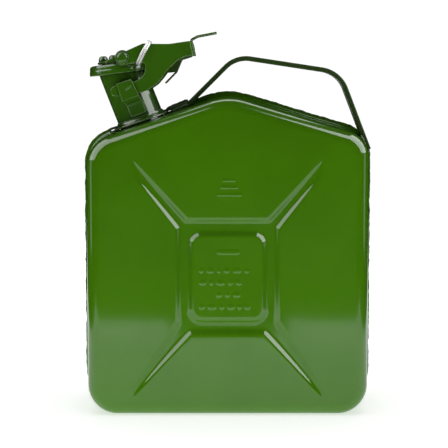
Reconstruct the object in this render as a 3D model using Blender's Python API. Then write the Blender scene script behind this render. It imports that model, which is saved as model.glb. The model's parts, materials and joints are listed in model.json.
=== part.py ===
"""Five-litre pressed-steel jerry can: two welded half shells, a handle, a tilted neck and a cam-lever lid.

Run with: blender --background --python part.py
X runs towards the handle's end, -Y is the front face, +Z is up and the floor is z = 0. Lengths are in metres.
"""

from math import atan2, cos, pi, radians, sin, tan

import bmesh
import bpy
from mathutils import Matrix, Vector
from mathutils.geometry import delaunay_2d_cdt

MM = 0.001
GAP = 0.3 * MM

# Tank
HALF_WIDTH = 120 * MM
HALF_DEPTH = 56 * MM
APEX_HEIGHT = 266.4 * MM
LEFT_SLOPE = radians(18.9)
RIGHT_SLOPE = radians(16.75)
SHEET = 0.8 * MM
FLANGE = 4.0 * MM
FLANGE_FOOT = 1.0 * MM
DRAFT = 1.7 * MM
FACE_EDGE_RADIUS = 11 * MM
BASE_STEP_START = 5 * MM
BASE_STEP_END = 10 * MM
CORNER_RADII = {"base": 30 * MM, "right": 27 * MM, "apex": 54 * MM, "left": 31 * MM}
LARGEST_INSET = 15 * MM

# Pressed pattern on both faces
PANEL_CENTRE_Z = 113.4 * MM
PANEL_HALF = Vector((31.5, 37.0)) * MM
CHANNEL_HALF = Vector((40.0, 45.0)) * MM
CHANNEL_CUT = Vector((8.0, 6.5)) * MM
CHANNEL_DEPTH = 2.8 * MM
CHANNEL_SLOPE = 2.6 * MM
ARM_TIP_TOP = (Vector((77.5, 210.5)) * MM, Vector((72.5, 192.5)) * MM)
ARM_TIP_LOW = (Vector((76.5, 17.0)) * MM, Vector((73.5, 26.0)) * MM)

# Neck: its axis leans to the left, square to the left shoulder, and its mouth is nearly level
NECK_BASE = Vector((-73.0, 0, 241.6)) * MM
NECK_TILT = LEFT_SLOPE
MOUTH_CENTRE = Vector((-88.4, 0, 280.5)) * MM
LID_TILT = radians(7)
NECK_RADIUS = 19.1 * MM
MOUTH_RADIUS = 19.4 * MM
NECK_WALL = 1.5 * MM
NECK_INSIDE = 9 * MM
COLLAR_FLARE = 4.5 * MM
COLLAR_SEAT_RADIUS = 24 * MM
BEAD_HEIGHT = 1.0 * MM

# Side brackets: height along the neck, left edge, right edge and distance from the mid-plane, in millimetres
BRACKET_ROWS = (
    (2.8, -5.4, 7.0, 19.5),
    (12.4, -6.2, 7.2, 19.5),
    (17.0, -8.0, 6.4, 27.3),
    (29.0, -8.2, 5.2, 27.3),
    (32.0, -8.2, 4.5, 27.0),
)
BRACKET_SHEET = 1.6 * MM

# Lid, in its own frame: u to the right, v to the rear, w up, from the centre of its lower rim
LID_ORIGIN = Vector((-90.4, 0, 277.9)) * MM
LID_RADIUS = 24.3 * MM
LID_HEIGHT = 8.7 * MM
LID_SHEET = 1.0 * MM
PIVOT_UW = Vector((6.0, 12.06)) * MM
HINGE_CENTRE = Vector((-61.8, 0, 279.2)) * MM
PIN_RADIUS = 2.0 * MM
RIVET_U = (-11.6 * MM, -3.2 * MM)

# Hinge lug on the neck's right side, the saddle's ears and the pivot's washers
HINGE_EAR = (6.4 * MM, 9.4 * MM)
HINGE_EAR_RADIUS = 3.6 * MM
HINGE_EAR_FOOT = ((-59.4, 268.0), (-62.2, 268.0))
HINGE_PLATE = ((-62.7, 268.2), (-59.5, 268.2), (-60.6, 273.6), (-64.9, 273.6))
HINGE_PLATE_HALF = 9.2 * MM
SADDLE_EAR = (17.9 * MM, 19.6 * MM)
SADDLE_EAR_RADIUS = 4.9 * MM
SADDLE_SHEET = (9.0 * MM, 10.8 * MM)
WASHER_RADIUS = 5.3 * MM
WASHER_OUTER = 27.8 * MM
PIN_PLAY = 0.05 * MM

# Lever
CHEEK_INNER = 24.7 * MM
CHEEK_OUTER = 26.5 * MM
CLAW_TIP = Vector((-91.3, 263.5)) * MM
CLAW_RADIUS = 4.4 * MM
NOSE_RADIUS = 6.2 * MM

# Hold-open catch and split ring
CATCH_RIVET = Vector((-29.0, 299.6)) * MM
CATCH_RIVET_Y = (-6 * MM, 6 * MM)
CATCH_SHEET = 1.2 * MM
CATCH_HALF_WIDTH = 11 * MM
CATCH_SIDE = ((-38.0, 289.4), (-42.6, 279.1), (-50.0, 278.4), (-51.0, 281.0), (-44.0, 288.6), (-37.6, 291.8))
CATCH_SIDE_INNER = 9.8 * MM
PLATE_LEAN = atan2(12.0, 2.7)
RING_CENTRE = Vector((-68.33, -25.6, 294.53)) * MM
RING_LEAN = radians(27.7)
RING_RADIUS = 10.3 * MM
RING_WIRE = 1.0 * MM

# Handle: the middle line of its flat bar, in X and Z; both feet straddle the seam's flange
HANDLE_HALF_WIDTH = 10 * MM
HANDLE_THICKNESS = 4.0 * MM
HANDLE_PATH = ((-47.4, 247.84), (-31.7, 253.2), (7.0, 291.8), (92.8, 278.8), (117.6, 214.7))
HANDLE_BENDS = (9 * MM, 24 * MM, 25 * MM)

GREEN = (0.045, 0.18, 0.005)
DARK_GREEN = (0.03, 0.10, 0.008)
ZINC = (0.62, 0.63, 0.64)
RUBBER = (0.02, 0.02, 0.02)


def clear_scene():
    for obj in list(bpy.data.objects):
        bpy.data.objects.remove(obj, do_unlink=True)


def make_material(name, colour, roughness, metallic):
    material = bpy.data.materials.new(name)
    material.use_nodes = True
    shader = material.node_tree.nodes["Principled BSDF"]
    shader.inputs["Base Color"].default_value = (*colour, 1)
    shader.inputs["Roughness"].default_value = roughness
    shader.inputs["Metallic"].default_value = metallic
    return material


def add_object(name, bm, look, origin=None):
    """Turns the bmesh into an object with its own material; its faces are turned to point outwards."""
    bmesh.ops.recalc_face_normals(bm, faces=bm.faces)
    mesh = bpy.data.meshes.new(name)
    bm.to_mesh(mesh)
    bm.free()
    mesh.shade_smooth()
    mesh.set_sharp_from_angle(angle=radians(35))
    mesh.materials.append(make_material(name, *look))
    obj = bpy.data.objects.new(name, mesh)
    bpy.context.collection.objects.link(obj)
    if origin is not None:
        mesh.transform(Matrix.Translation(-origin))
        obj.location = origin
    return obj


def as_cutter(obj):
    obj.hide_render = True
    obj.display_type = "WIRE"
    return obj


def combine(obj, other, operation):
    modifier = obj.modifiers.new(f"{operation.lower()} {other.name}", "BOOLEAN")
    modifier.operation = operation
    modifier.solver = "EXACT"
    modifier.object = as_cutter(other)


def bevel(obj, width, segments=1):
    modifier = obj.modifiers.new("bevel", "BEVEL")
    modifier.width = width
    modifier.segments = segments
    modifier.limit_method = "ANGLE"
    modifier.angle_limit = radians(50)


def mm_points(*pairs):
    return [Vector(pair) * MM for pair in pairs]


def rounded(points, radii, steps=8):
    """The closed outline through the points, each corner rounded to its radius."""
    outline = []
    for i, corner in enumerate(points):
        before = (points[i - 1] - corner).normalized()
        after = (points[(i + 1) % len(points)] - corner).normalized()
        radius = radii[i]
        if radius <= 0:
            outline.append(corner.copy())
            continue
        half = before.angle(after) / 2
        middle = corner + (before + after).normalized() * radius / sin(half)
        start = corner + before * radius / tan(half) - middle
        sweep = pi - 2 * half
        turn = 1 if start.cross(corner - middle) > 0 else -1
        for step in range(steps + 1):
            angle = turn * sweep * step / steps
            turned_x = start.x * cos(angle) - start.y * sin(angle)
            turned_y = start.x * sin(angle) + start.y * cos(angle)
            outline.append(middle + Vector((turned_x, turned_y)))
    return outline


def arc_about(centre, radius, start, end, steps):
    angles = [radians(start + (end - start) * i / steps) for i in range(steps + 1)]
    return [centre + Vector((cos(a), sin(a))) * radius for a in angles]


def bent_path(points, radii, steps=6):
    """An open path with its inner corners rounded."""
    return rounded(points, [0, *radii, 0], steps)


def thicken(path, thickness):
    """The closed outline of a sheet that follows the path, seen from its edge."""
    left, right = [], []
    for i, point in enumerate(path):
        before = path[max(i - 1, 0)]
        after = path[min(i + 1, len(path) - 1)]
        if 0 < i < len(path) - 1:
            first = (point - before).normalized()
            second = (after - point).normalized()
            along = (first + second).normalized()
            stretch = 1 / max(along.dot(first), 0.5)
        else:
            along = (after - before).normalized()
            stretch = 1
        side = Vector((-along.y, along.x)) * thickness / 2 * stretch
        left.append(point + side)
        right.append(point - side)
    return left + right[::-1]


def extrude(bm, face, move):
    """Pulls a face out into a solid."""
    moved = bmesh.ops.extrude_face_region(bm, geom=[face])["geom"]
    verts = [v for v in moved if isinstance(v, bmesh.types.BMVert)]
    bmesh.ops.translate(bm, vec=move, verts=verts)


def prism(outline, y0, y1):
    """A plate with this X-Z outline, from y0 to y1."""
    bm = bmesh.new()
    face = bm.faces.new([bm.verts.new((p.x, y0, p.y)) for p in outline])
    extrude(bm, face, (0, y1 - y0, 0))
    return bm


def turned(profile, place, steps=32):
    """A closed profile of (radius, height) points turned about the Z axis of the frame called place."""
    bm = bmesh.new()
    rings = []
    for radius, height in profile:
        if radius < 1e-9:
            rings.append([bm.verts.new((0, 0, height))])
            continue
        angles = [2 * pi * i / steps for i in range(steps)]
        rings.append([bm.verts.new((radius * cos(a), radius * sin(a), height)) for a in angles])
    closed = len(rings[0]) > 1 and len(rings[-1]) > 1
    pairs = list(zip(rings, rings[1:])) + ([(rings[-1], rings[0])] if closed else [])
    for low, high in pairs:
        if len(low) == 1 and len(high) == 1:
            continue
        for i in range(steps):
            j = (i + 1) % steps
            corners = [low[i % len(low)], low[j % len(low)], high[j % len(high)], high[i % len(high)]]
            bm.faces.new(list(dict.fromkeys(corners)))
    bm.transform(place)
    return bm


def frame_at(origin, direction):
    """A frame whose Z axis points along the direction."""
    return Matrix.Translation(origin) @ direction.to_track_quat("Z", "Y").to_matrix().to_4x4()


def lid_frame():
    turn = Matrix.Rotation(-LID_TILT, 4, "Y")
    return Matrix.Translation(LID_ORIGIN) @ turn


def from_lid(u, w):
    point = lid_frame() @ Vector((u, 0, w))
    return Vector((point.x, point.z))


def across(centre):
    """The frame on the joint axis through a point of the X-Z plane: its Z axis runs to the rear."""
    return frame_at(Vector((centre.x, 0, centre.y)), Vector((0, 1, 0)))


def drill(obj, centre, radius, length=80 * MM, name="drill"):
    """Cuts a hole along Y through the X-Z point."""
    half = length / 2
    bm = turned([(0, -half), (radius, -half), (radius, half), (0, half)], across(centre), 20)
    combine(obj, add_object(f"{name} {obj.name}", bm, (GREEN, 0.3, 0)), "DIFFERENCE")


# ---------------------------------------------------------------- tank

def tank_corners(side, base):
    """The X-Z outline inset by side from the flange's edge, with its lower edge at base."""
    half = HALF_WIDTH - side
    left_drop = side / cos(LEFT_SLOPE)
    right_drop = side / cos(RIGHT_SLOPE)
    apex = APEX_HEIGHT - (left_drop + right_drop) / 2
    apex_x = (right_drop - left_drop) / (tan(LEFT_SLOPE) + tan(RIGHT_SLOPE))
    return [
        Vector((-half, base)),
        Vector((half, base)),
        Vector((half, APEX_HEIGHT - right_drop - half * tan(RIGHT_SLOPE))),
        Vector((apex_x, apex)),
        Vector((-half, APEX_HEIGHT - left_drop - half * tan(LEFT_SLOPE))),
    ]


def tank_ring(side, base):
    corners = ("base", "base", "right", "apex", "left")
    radii = [CORNER_RADII[name] - min(side, LARGEST_INSET) for name in corners]
    return rounded(tank_corners(side, base), radii, 7)


def tank_stations():
    """(depth from the seam, inset from the flange's edge, height of the lower edge) down the side wall."""
    stations = [
        (GAP / 2 + SHEET, 0, FLANGE_FOOT),
        (GAP / 2 + SHEET, FLANGE, FLANGE_FOOT + FLANGE),
        (BASE_STEP_START, FLANGE, FLANGE_FOOT + FLANGE),
        (BASE_STEP_END, FLANGE + 0.1 * DRAFT, 0),
        (HALF_DEPTH - FACE_EDGE_RADIUS, FLANGE + DRAFT, 0),
    ]
    turns = 4
    for step in range(1, turns + 1):
        angle = pi / 2 * step / turns
        inset = FACE_EDGE_RADIUS * (1 - cos(angle))
        depth = HALF_DEPTH - FACE_EDGE_RADIUS * (1 - sin(angle))
        stations.append((depth, FLANGE + DRAFT + inset, inset))
    return stations


def mirrored(points, mirror_x):
    return [Vector((-p.x, p.y)) for p in points] if mirror_x else points


def arm_points(top, mirror_x, spread):
    """One diagonal arm's outline from root to root; spread moves its sides inwards."""
    sign = 1 if top else -1
    outer, inner = ARM_TIP_TOP if top else ARM_TIP_LOW
    level_root = Vector((CHANNEL_HALF.x - CHANNEL_CUT.x, PANEL_CENTRE_Z + sign * CHANNEL_HALF.y))
    upright_root = Vector((CHANNEL_HALF.x, PANEL_CENTRE_Z + sign * (CHANNEL_HALF.y - CHANNEL_CUT.y)))
    level_side = Vector((0, -sign * spread))
    upright_side = Vector((-spread, 0))
    along_level = (outer - level_root).normalized()
    along_upright = (inner - upright_root).normalized()
    shift_level = Vector((along_level.y, -along_level.x)) * (spread * sign)
    shift_upright = Vector((-along_upright.y, along_upright.x)) * (spread * sign)
    tip = (outer + inner) / 2
    points = [
        level_root + level_side + Vector((shift_level.x * 0.3, 0)),
        outer + (shift_level if spread else Vector((0, 0))) * 0.6,
        tip + (tip - Vector((0, PANEL_CENTRE_Z))).normalized() * 1 * MM,
        inner + (shift_upright if spread else Vector((0, 0))) * 0.6,
        upright_root + upright_side + Vector((0, shift_upright.y * 0.3)),
    ]
    points = points if not spread else [points[0], points[1], points[3], points[4]]
    return mirrored(points, mirror_x)


def channel_outline(spread):
    """The pressed channel's outer edge: a rectangle with cut corners and an arm running out of each."""
    corners = []
    corners += arm_points(True, False, spread)
    corners += arm_points(False, False, spread)[::-1]
    corners += arm_points(False, True, spread)
    corners += arm_points(True, True, spread)[::-1]
    return corners


def panel_outline(grow):
    half = PANEL_HALF + Vector((grow, grow))
    centre = Vector((0, PANEL_CENTRE_Z))
    corners = [Vector((sx * half.x, sz * half.y)) + centre for sx, sz in ((1, 1), (1, -1), (-1, -1), (-1, 1))]
    return rounded(corners, [7 * MM + grow] * 4, 4)


def arm_fade(point):
    """How deep the channel is here: 1 round the panel, falling to 0 at an arm's tip."""
    reach = max(abs(point.x) - CHANNEL_HALF.x, 0) / (ARM_TIP_TOP[1].x - CHANNEL_HALF.x)
    return max(0.0, 1 - reach ** 2)


def pressed_face(edge):
    """The front face as (points, triangles): points are (x, z, depth of the pressing)."""
    loops = [(edge, 0), (channel_outline(0), 0), (panel_outline(0), 0)]
    loops += [(channel_outline(CHANNEL_SLOPE), 1), (panel_outline(CHANNEL_SLOPE), 1)]
    points, edges, depths = [], [], []
    for loop, floor in loops:
        start = len(points)
        for i, point in enumerate(loop):
            points.append(point)
            depths.append(CHANNEL_DEPTH * arm_fade(point) if floor else 0)
            edges.append((start + i, start + (i + 1) % len(loop)))
    found, _, faces, origin, _, _ = delaunay_2d_cdt(points, edges, [list(range(len(edge)))], 1, 1e-7, True)
    placed = [(p.x, p.y, depths[origin[i][0]] if origin[i] else 0) for i, p in enumerate(found)]
    return placed, faces


def shell_surface():
    """The outer surface of the front half shell, as one open sheet."""
    bm = bmesh.new()
    rings = []
    for depth, side, base in tank_stations():
        rings.append([bm.verts.new((p.x, -depth, p.y)) for p in tank_ring(side, base)])
    for low, high in zip(rings, rings[1:]):
        for i in range(len(low)):
            j = (i + 1) % len(low)
            bm.faces.new((low[i], low[j], high[j], high[i]))
    edge = [Vector((v.co.x, v.co.z)) for v in rings[-1]]
    placed, faces = pressed_face(edge)
    made = [bm.verts.new((x, -HALF_DEPTH + depth, z)) for x, z, depth in placed]
    for face in faces:
        bm.faces.new([made[i] for i in face])
    bmesh.ops.remove_doubles(bm, verts=bm.verts, dist=1e-6)
    return bm


def point_outwards(bm, centre):
    bmesh.ops.recalc_face_normals(bm, faces=bm.faces)
    face = max(bm.faces, key=lambda f: f.calc_area())
    if face.normal.dot(face.calc_center_median() - centre) < 0:
        bmesh.ops.reverse_faces(bm, faces=bm.faces)


def make_shell(name, rear):
    bm = shell_surface()
    if rear:
        bmesh.ops.scale(bm, vec=(1, -1, 1), verts=bm.verts)
    point_outwards(bm, Vector((0, 0, HALF_WIDTH)))
    mesh = bpy.data.meshes.new(name)
    bm.to_mesh(mesh)
    bm.free()
    mesh.shade_smooth()
    mesh.set_sharp_from_angle(angle=radians(40))
    mesh.materials.append(make_material(name, GREEN, 0.12, 0))
    obj = bpy.data.objects.new(name, mesh)
    bpy.context.collection.objects.link(obj)
    solidify = obj.modifiers.new("sheet", "SOLIDIFY")
    solidify.thickness = SHEET
    solidify.offset = -1
    solidify.use_even_offset = True
    combine(obj, neck_clearance(f"{name} neck hole"), "DIFFERENCE")
    return obj


def neck_clearance(name):
    """What is cut from both shells: the neck's hole and the stretch of flange that the collar stands on."""
    hole = NECK_RADIUS + GAP
    seat, low, high = -FLANGE + 0.02 * MM, -26.4 * MM, 12 * MM
    profile = [(0, low), (hole, low), (hole, seat)]
    profile += [(COLLAR_SEAT_RADIUS, seat), (COLLAR_SEAT_RADIUS, high), (0, high)]
    return add_object(name, turned(profile, frame_at(NECK_BASE, neck_axis()), 32), (GREEN, 0.3, 0))


def make_handle():
    path = bent_path(mm_points(*HANDLE_PATH), HANDLE_BENDS, 6)
    bm = prism(thicken(path, HANDLE_THICKNESS), -HANDLE_HALF_WIDTH, HANDLE_HALF_WIDTH)
    handle = add_object("carry_handle", bm, (DARK_GREEN, 0.25, 0))
    cutter = flange_profile("handle seat")
    combine(handle, cutter, "DIFFERENCE")
    bevel(handle, 0.6 * MM)
    return handle


def flange_profile(name):
    """The shells' outside grown by the gap, which the handle's feet are cut to sit on."""
    outline = tank_ring(-GAP, FLANGE_FOOT)
    flange = add_object(name, prism(outline, -2 * MM, 2 * MM), (GREEN, 0.3, 0))
    wall = tank_ring(FLANGE - GAP, FLANGE_FOOT + FLANGE)
    body = add_object(f"{name} wall", prism(wall, -30 * MM, 30 * MM), (GREEN, 0.3, 0))
    combine(flange, body, "UNION")
    return flange


# ---------------------------------------------------------------- neck

def neck_axis():
    return Vector((-sin(NECK_TILT), 0, cos(NECK_TILT)))


def neck_station(distance):
    """The frame of the neck's cross-section at a distance along it, and its outer radius."""
    length = (MOUTH_CENTRE - NECK_BASE).length
    share = min(max(distance / length, 0), 1)
    along = (MOUTH_CENTRE - NECK_BASE).normalized()
    centre = NECK_BASE + (along * distance if distance > 0 else neck_axis() * distance)
    tilt = NECK_TILT + (LID_TILT - NECK_TILT) * share
    place = Matrix.Translation(centre) @ Matrix.Rotation(-tilt, 4, "Y")
    return place, NECK_RADIUS + (MOUTH_RADIUS - NECK_RADIUS) * share


def neck_profile():
    """(distance along the neck, extra radius of the rolled bead) from the foot to the mouth."""
    length = (MOUTH_CENTRE - NECK_BASE).length
    angles = [pi * step / 6 for step in range(7)]
    bead = [(length - BEAD_HEIGHT * (1 + cos(a)), BEAD_HEIGHT * sin(a)) for a in angles]
    return [(-NECK_INSIDE, 0), (0, 0), (length / 2, 0), *bead]


def make_neck():
    bm = bmesh.new()
    steps = 32
    rings = []
    for distance, swell in neck_profile():
        place, radius = neck_station(distance)
        angles = [2 * pi * i / steps for i in range(steps)]
        reach = radius + swell
        rings.append([bm.verts.new(place @ Vector((reach * cos(a), reach * sin(a), 0))) for a in angles])
    for distance in ((MOUTH_CENTRE - NECK_BASE).length, 0, -NECK_INSIDE):
        place, radius = neck_station(distance)
        bore = radius - NECK_WALL
        angles = [2 * pi * i / steps for i in range(steps)]
        rings.append([bm.verts.new(place @ Vector((bore * cos(a), bore * sin(a), 0))) for a in angles])
    for low, high in zip(rings, rings[1:] + rings[:1]):
        for i in range(steps):
            j = (i + 1) % steps
            bm.faces.new((low[i], low[j], high[j], high[i]))
    return add_object("neck_tube", bm, (GREEN, 0.15, 0))


def make_collar():
    """The rounded weld flare where the neck meets the shoulder."""
    low = -FLANGE + GAP
    inner = NECK_RADIUS + GAP
    edge, lip = 0.7 * MM, 0.5 * MM
    outer = inner + COLLAR_FLARE
    profile = [(inner, low), (outer, low), (outer, low + edge)]
    for step in range(1, 5):
        angle = pi / 2 * step / 4
        reach = outer - (COLLAR_FLARE - lip) * sin(angle)
        profile.append((reach, low + edge + (COLLAR_FLARE - edge) * (1 - cos(angle))))
    profile.append((inner, low + COLLAR_FLARE))
    return add_object("neck_collar", turned(profile, frame_at(NECK_BASE, neck_axis())), (GREEN, 0.2, 0))


def bracket_point(b, a, depth):
    """A point of a side bracket: b across the neck to the right, a up along it, depth from the mid-plane."""
    right = Vector((cos(NECK_TILT), 0, sin(NECK_TILT)))
    return NECK_BASE + right * b * MM + neck_axis() * a * MM + Vector((0, depth * MM, 0))


def make_bracket(name, side):
    """A joggled strap welded to the neck's side; its upper plate stands out over the lever's claw."""
    bm = bmesh.new()
    pairs = []
    for a, b0, b1, depth in BRACKET_ROWS:
        pairs.append([bm.verts.new(bracket_point(b, a, side * depth)) for b in (b0, b1)])
    for low, high in zip(pairs, pairs[1:]):
        bm.faces.new((low[0], low[1], high[1], high[0]))
    bmesh.ops.recalc_face_normals(bm, faces=bm.faces)
    bm.faces.ensure_lookup_table()
    if bm.faces[0].normal.y * side < 0:
        bmesh.ops.reverse_faces(bm, faces=bm.faces)
    mesh = bpy.data.meshes.new(name)
    bm.to_mesh(mesh)
    bm.free()
    mesh.materials.append(make_material(name, GREEN, 0.2, 0))
    obj = bpy.data.objects.new(name, mesh)
    bpy.context.collection.objects.link(obj)
    sheet = obj.modifiers.new("sheet", "SOLIDIFY")
    sheet.thickness = BRACKET_SHEET
    sheet.offset = 1
    sheet.use_even_offset = True
    return obj


def make_hinge_lug():
    """Two ears on the neck's right side that hold the lid's hinge pin, joined by a plate against the tube."""
    centre = Vector((HINGE_CENTRE.x, HINGE_CENTRE.z))
    outline = arc_about(centre, HINGE_EAR_RADIUS, 200, 0, 8) + mm_points(*HINGE_EAR_FOOT)
    ears = []
    for side in (-1, 1):
        y0, y1 = sorted(side * y for y in HINGE_EAR)
        ears.append(add_object(f"hinge_ear {side}", prism(outline, y0, y1), (GREEN, 0.2, 0)))
        drill(ears[-1], centre, PIN_RADIUS + PIN_PLAY, name="pin hole")
    plate = prism(mm_points(*HINGE_PLATE), -HINGE_PLATE_HALF, HINGE_PLATE_HALF)
    lug = add_object("hinge_lug", plate, (GREEN, 0.2, 0))
    for ear in ears:
        combine(lug, ear, "UNION")
    return lug


def make_vent_tube():
    """The breather pipe inside the neck: it opens high in the tank, under the peak of the shoulders."""
    points = mm_points((-77.2, 270.0), (-63.6, 231.5), (-50.0, 227.5), (-9.0, 243.0))
    path = bent_path(points, [9 * MM, 14 * MM], 6)
    outer, bore, sides = 3.5 * MM, 2.7 * MM, 12
    bm = bmesh.new()
    rings = {outer: [], bore: []}
    for i, point in enumerate(path):
        along = (path[min(i + 1, len(path) - 1)] - path[max(i - 1, 0)]).normalized()
        normal = Vector((-along.y, along.x))
        for radius, made in rings.items():
            ring = []
            for step in range(sides):
                angle = 2 * pi * step / sides
                flat = point + normal * radius * cos(angle)
                ring.append(bm.verts.new((flat.x, radius * sin(angle), flat.y)))
            made.append(ring)
    loop = rings[outer] + rings[bore][::-1]
    for low, high in zip(loop, loop[1:] + loop[:1]):
        for i in range(sides):
            j = (i + 1) % sides
            bm.faces.new((low[i], low[j], high[j], high[i]))
    return add_object("vent_tube", bm, (ZINC, 0.4, 1))


# ---------------------------------------------------------------- lid

def lid_profile():
    """The pressed lid, outside then inside: a skirt, a groove and a slightly crowned top."""
    r, t, top = LID_RADIUS, LID_SHEET, LID_HEIGHT
    outside = [(r, 0), (r, 3.2 * MM), (r - 1 * MM, 4.2 * MM), (r - 0.6 * MM, 6.4 * MM)]
    outside += [(r - 1.4 * MM, 7.8 * MM), (r - 3 * MM, top - 0.4 * MM), (0, top)]
    inside = [(0, top - t), (r - 3.2 * MM, top - 0.4 * MM - t), (r - 1.8 * MM, 6.2 * MM)]
    inside += [(r - 2 * MM, 4.4 * MM), (r - t, 3.4 * MM), (r - t, 0)]
    return outside + inside


def lid_part(name, bm, look):
    return add_object(name, bm, look, HINGE_CENTRE)


def rivet_drill(obj, radius):
    for i, u in enumerate(RIVET_U):
        place = lid_frame() @ Matrix.Translation((u, 0, 0))
        bm = turned([(0, -5 * MM), (radius, -5 * MM), (radius, 25 * MM), (0, 25 * MM)], place, 16)
        combine(obj, add_object(f"rivet hole {i} {obj.name}", bm, (GREEN, 0.3, 0)), "DIFFERENCE")


def make_lid():
    profile = lid_profile()
    lid = lid_part("lid_cap", turned(profile, lid_frame(), 40), (GREEN, 0.15, 0))
    rivet_drill(lid, PIN_RADIUS + GAP)
    return lid


def make_gasket():
    inner, low, high = 15.6 * MM, 2.7 * MM, 7.0 * MM
    profile = [(inner, low), (21.2 * MM, low), (21.9 * MM, low + 0.8 * MM)]
    profile += [(21.9 * MM, 5.8 * MM), (21.0 * MM, high), (inner, high)]
    return lid_part("lid_gasket", turned(profile, lid_frame(), 40), (RUBBER, 0.7, 0))


def make_retainer():
    low, high = 5.0 * MM, 6.0 * MM
    profile = [(0, low), (15.0 * MM, low), (15.2 * MM, low + 0.3 * MM), (14.6 * MM, high), (0, high)]
    retainer = lid_part("gasket_retainer", turned(profile, lid_frame(), 32), (ZINC, 0.4, 1))
    rivet_drill(retainer, PIN_RADIUS + GAP)
    return retainer


def make_saddle():
    """The channel riveted on the lid: a web, and an ear each side that carries the lever's pivot pin."""
    low, high = SADDLE_SHEET
    web = [(-16, -9), (-8, -19.4), (3, -19.4), (3, 19.4), (-8, 19.4), (-16, 9)]
    bm = bmesh.new()
    face = bm.faces.new([bm.verts.new((u * MM, v * MM, low)) for u, v in web])
    extrude(bm, face, (0, 0, high - low))
    bm.transform(lid_frame())
    saddle = lid_part("lid_saddle", bm, (GREEN, 0.2, 0))
    arc = arc_about(PIVOT_UW, SADDLE_EAR_RADIUS, 150, -32, 7)
    outline = mm_points((-7.9, 9.1), (-7.9, 11.4)) + arc + mm_points((3.0, 9.1))
    for side in (-1, 1):
        y0, y1 = sorted(side * y for y in SADDLE_EAR)
        ear = prism([from_lid(p.x, p.y) for p in outline], y0, y1)
        ear = add_object(f"saddle ear {side}", ear, (GREEN, 0.2, 0))
        combine(saddle, ear, "UNION")
    drill(saddle, from_lid(*PIVOT_UW), PIN_RADIUS + PIN_PLAY, name="pivot hole")
    rivet_drill(saddle, PIN_RADIUS + GAP)
    return saddle


def make_saddle_rivet(number):
    head, low = 4.0 * MM, 11.1 * MM
    profile = [(0, 3.2 * MM), (3.2 * MM, 3.2 * MM), (3.4 * MM, 4.7 * MM), (PIN_RADIUS, 4.7 * MM)]
    profile += [(PIN_RADIUS, low), (head, low)]
    angles = [pi / 2 * step / 4 for step in range(4)]
    profile += [(head * cos(a), low + 0.6 * MM + 4.4 * MM * sin(a)) for a in angles]
    profile.append((0, low + 5.0 * MM))
    place = lid_frame() @ Matrix.Translation((RIVET_U[number], 0, 0))
    return lid_part(f"saddle_rivet_{number + 1}", turned(profile, place, 16), (GREEN, 0.2, 0))


def make_hinge_leaf():
    """The strap over the lid's right edge, rolled round the hinge pin."""
    centre = Vector((HINGE_CENTRE.x, HINGE_CENTRE.z))
    barrel = [(0, -6 * MM), (3.4 * MM, -6 * MM), (3.4 * MM, 6 * MM), (0, 6 * MM)]
    knuckle = add_object("knuckle", turned(barrel, across(centre), 20), (GREEN, 0.2, 0))
    points = [from_lid(12.5 * MM, 9.7 * MM), from_lid(25.6 * MM, 9.7 * MM), centre + Vector((-1.0, 2.6)) * MM]
    strap = prism(thicken(bent_path(points, [2.5 * MM], 4), 1.3 * MM), -5.8 * MM, 5.8 * MM)
    leaf = lid_part("hinge_leaf", strap, (GREEN, 0.2, 0))
    combine(leaf, knuckle, "UNION")
    drill(leaf, centre, PIN_RADIUS + PIN_PLAY, name="pin hole")
    return leaf


def make_hinge_pin():
    profile = [(0, -10.6 * MM), (PIN_RADIUS, -10.6 * MM), (PIN_RADIUS, 9.8 * MM)]
    profile += [(3.0 * MM, 9.8 * MM), (3.0 * MM, 11 * MM), (0, 11 * MM)]
    centre = Vector((HINGE_CENTRE.x, HINGE_CENTRE.z))
    return add_object("lid_hinge_pin", turned(profile, across(centre), 20), (ZINC, 0.3, 1), HINGE_CENTRE)


def pivot_centre():
    return from_lid(*PIVOT_UW)


def make_pivot_pin():
    """The lever's pivot: a shank through the ears and cheeks with a domed head at each end."""
    reach, head, rise = 28.1 * MM, 4.4 * MM, 1.9 * MM
    dome = [(head * cos(a), reach + 0.5 * MM + rise * sin(a)) for a in (pi / 2 * s / 4 for s in range(4))]
    half = [(PIN_RADIUS, reach), (head, reach), *dome, (0, reach + 0.5 * MM + rise)]
    profile = [(r, -y) for r, y in half[::-1]] + half
    centre = pivot_centre()
    return lid_part("lever_pivot_pin", turned(profile, across(centre), 24), (GREEN, 0.2, 0))


def make_pivot_washer(name, side):
    y0, y1 = sorted((side * (CHEEK_OUTER + GAP), side * WASHER_OUTER))
    bore = PIN_RADIUS + 2 * PIN_PLAY
    profile = [(bore, y0), (WASHER_RADIUS, y0), (WASHER_RADIUS, y1), (bore, y1)]
    return lid_part(name, turned(profile, across(pivot_centre()), 24), (GREEN, 0.2, 0))


# ---------------------------------------------------------------- lever

def cheek_outline():
    """One cheek: a nose round the pivot, a broad arm to the tail, and a claw that curls under the lid."""
    nose = arc_about(pivot_centre(), NOSE_RADIUS, 285, 62, 10)
    top = mm_points((-69.3, 302.2), (-60, 301.9), (-48.0, 301.8), (-32.1, 304.1), (-29.6, 304.2))
    tail = mm_points((-27.2, 292.9), (-35.2, 291.5), (-41.6, 287.8), (-49.3, 280.3), (-53.4, 274.6))
    belly = mm_points((-58.5, 268.7), (-65.3, 264.2), (-71.4, 261.9), (-84, 259.2))
    claw = arc_about(CLAW_TIP, CLAW_RADIUS, 275, 45, 8)
    notch = mm_points((-84.5, 267.2), (-78.0, 270.4), (-72.7, 272.9), (-69.3, 275.6))
    notch += mm_points((-67.8, 278.5), (-66.8, 285.6), (-72.3, 287.4))
    return nose + top + tail + belly + claw + notch


def lever_part(name, bm, look):
    centre = pivot_centre()
    return add_object(name, bm, look, Vector((centre.x, 0, centre.y)))


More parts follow.
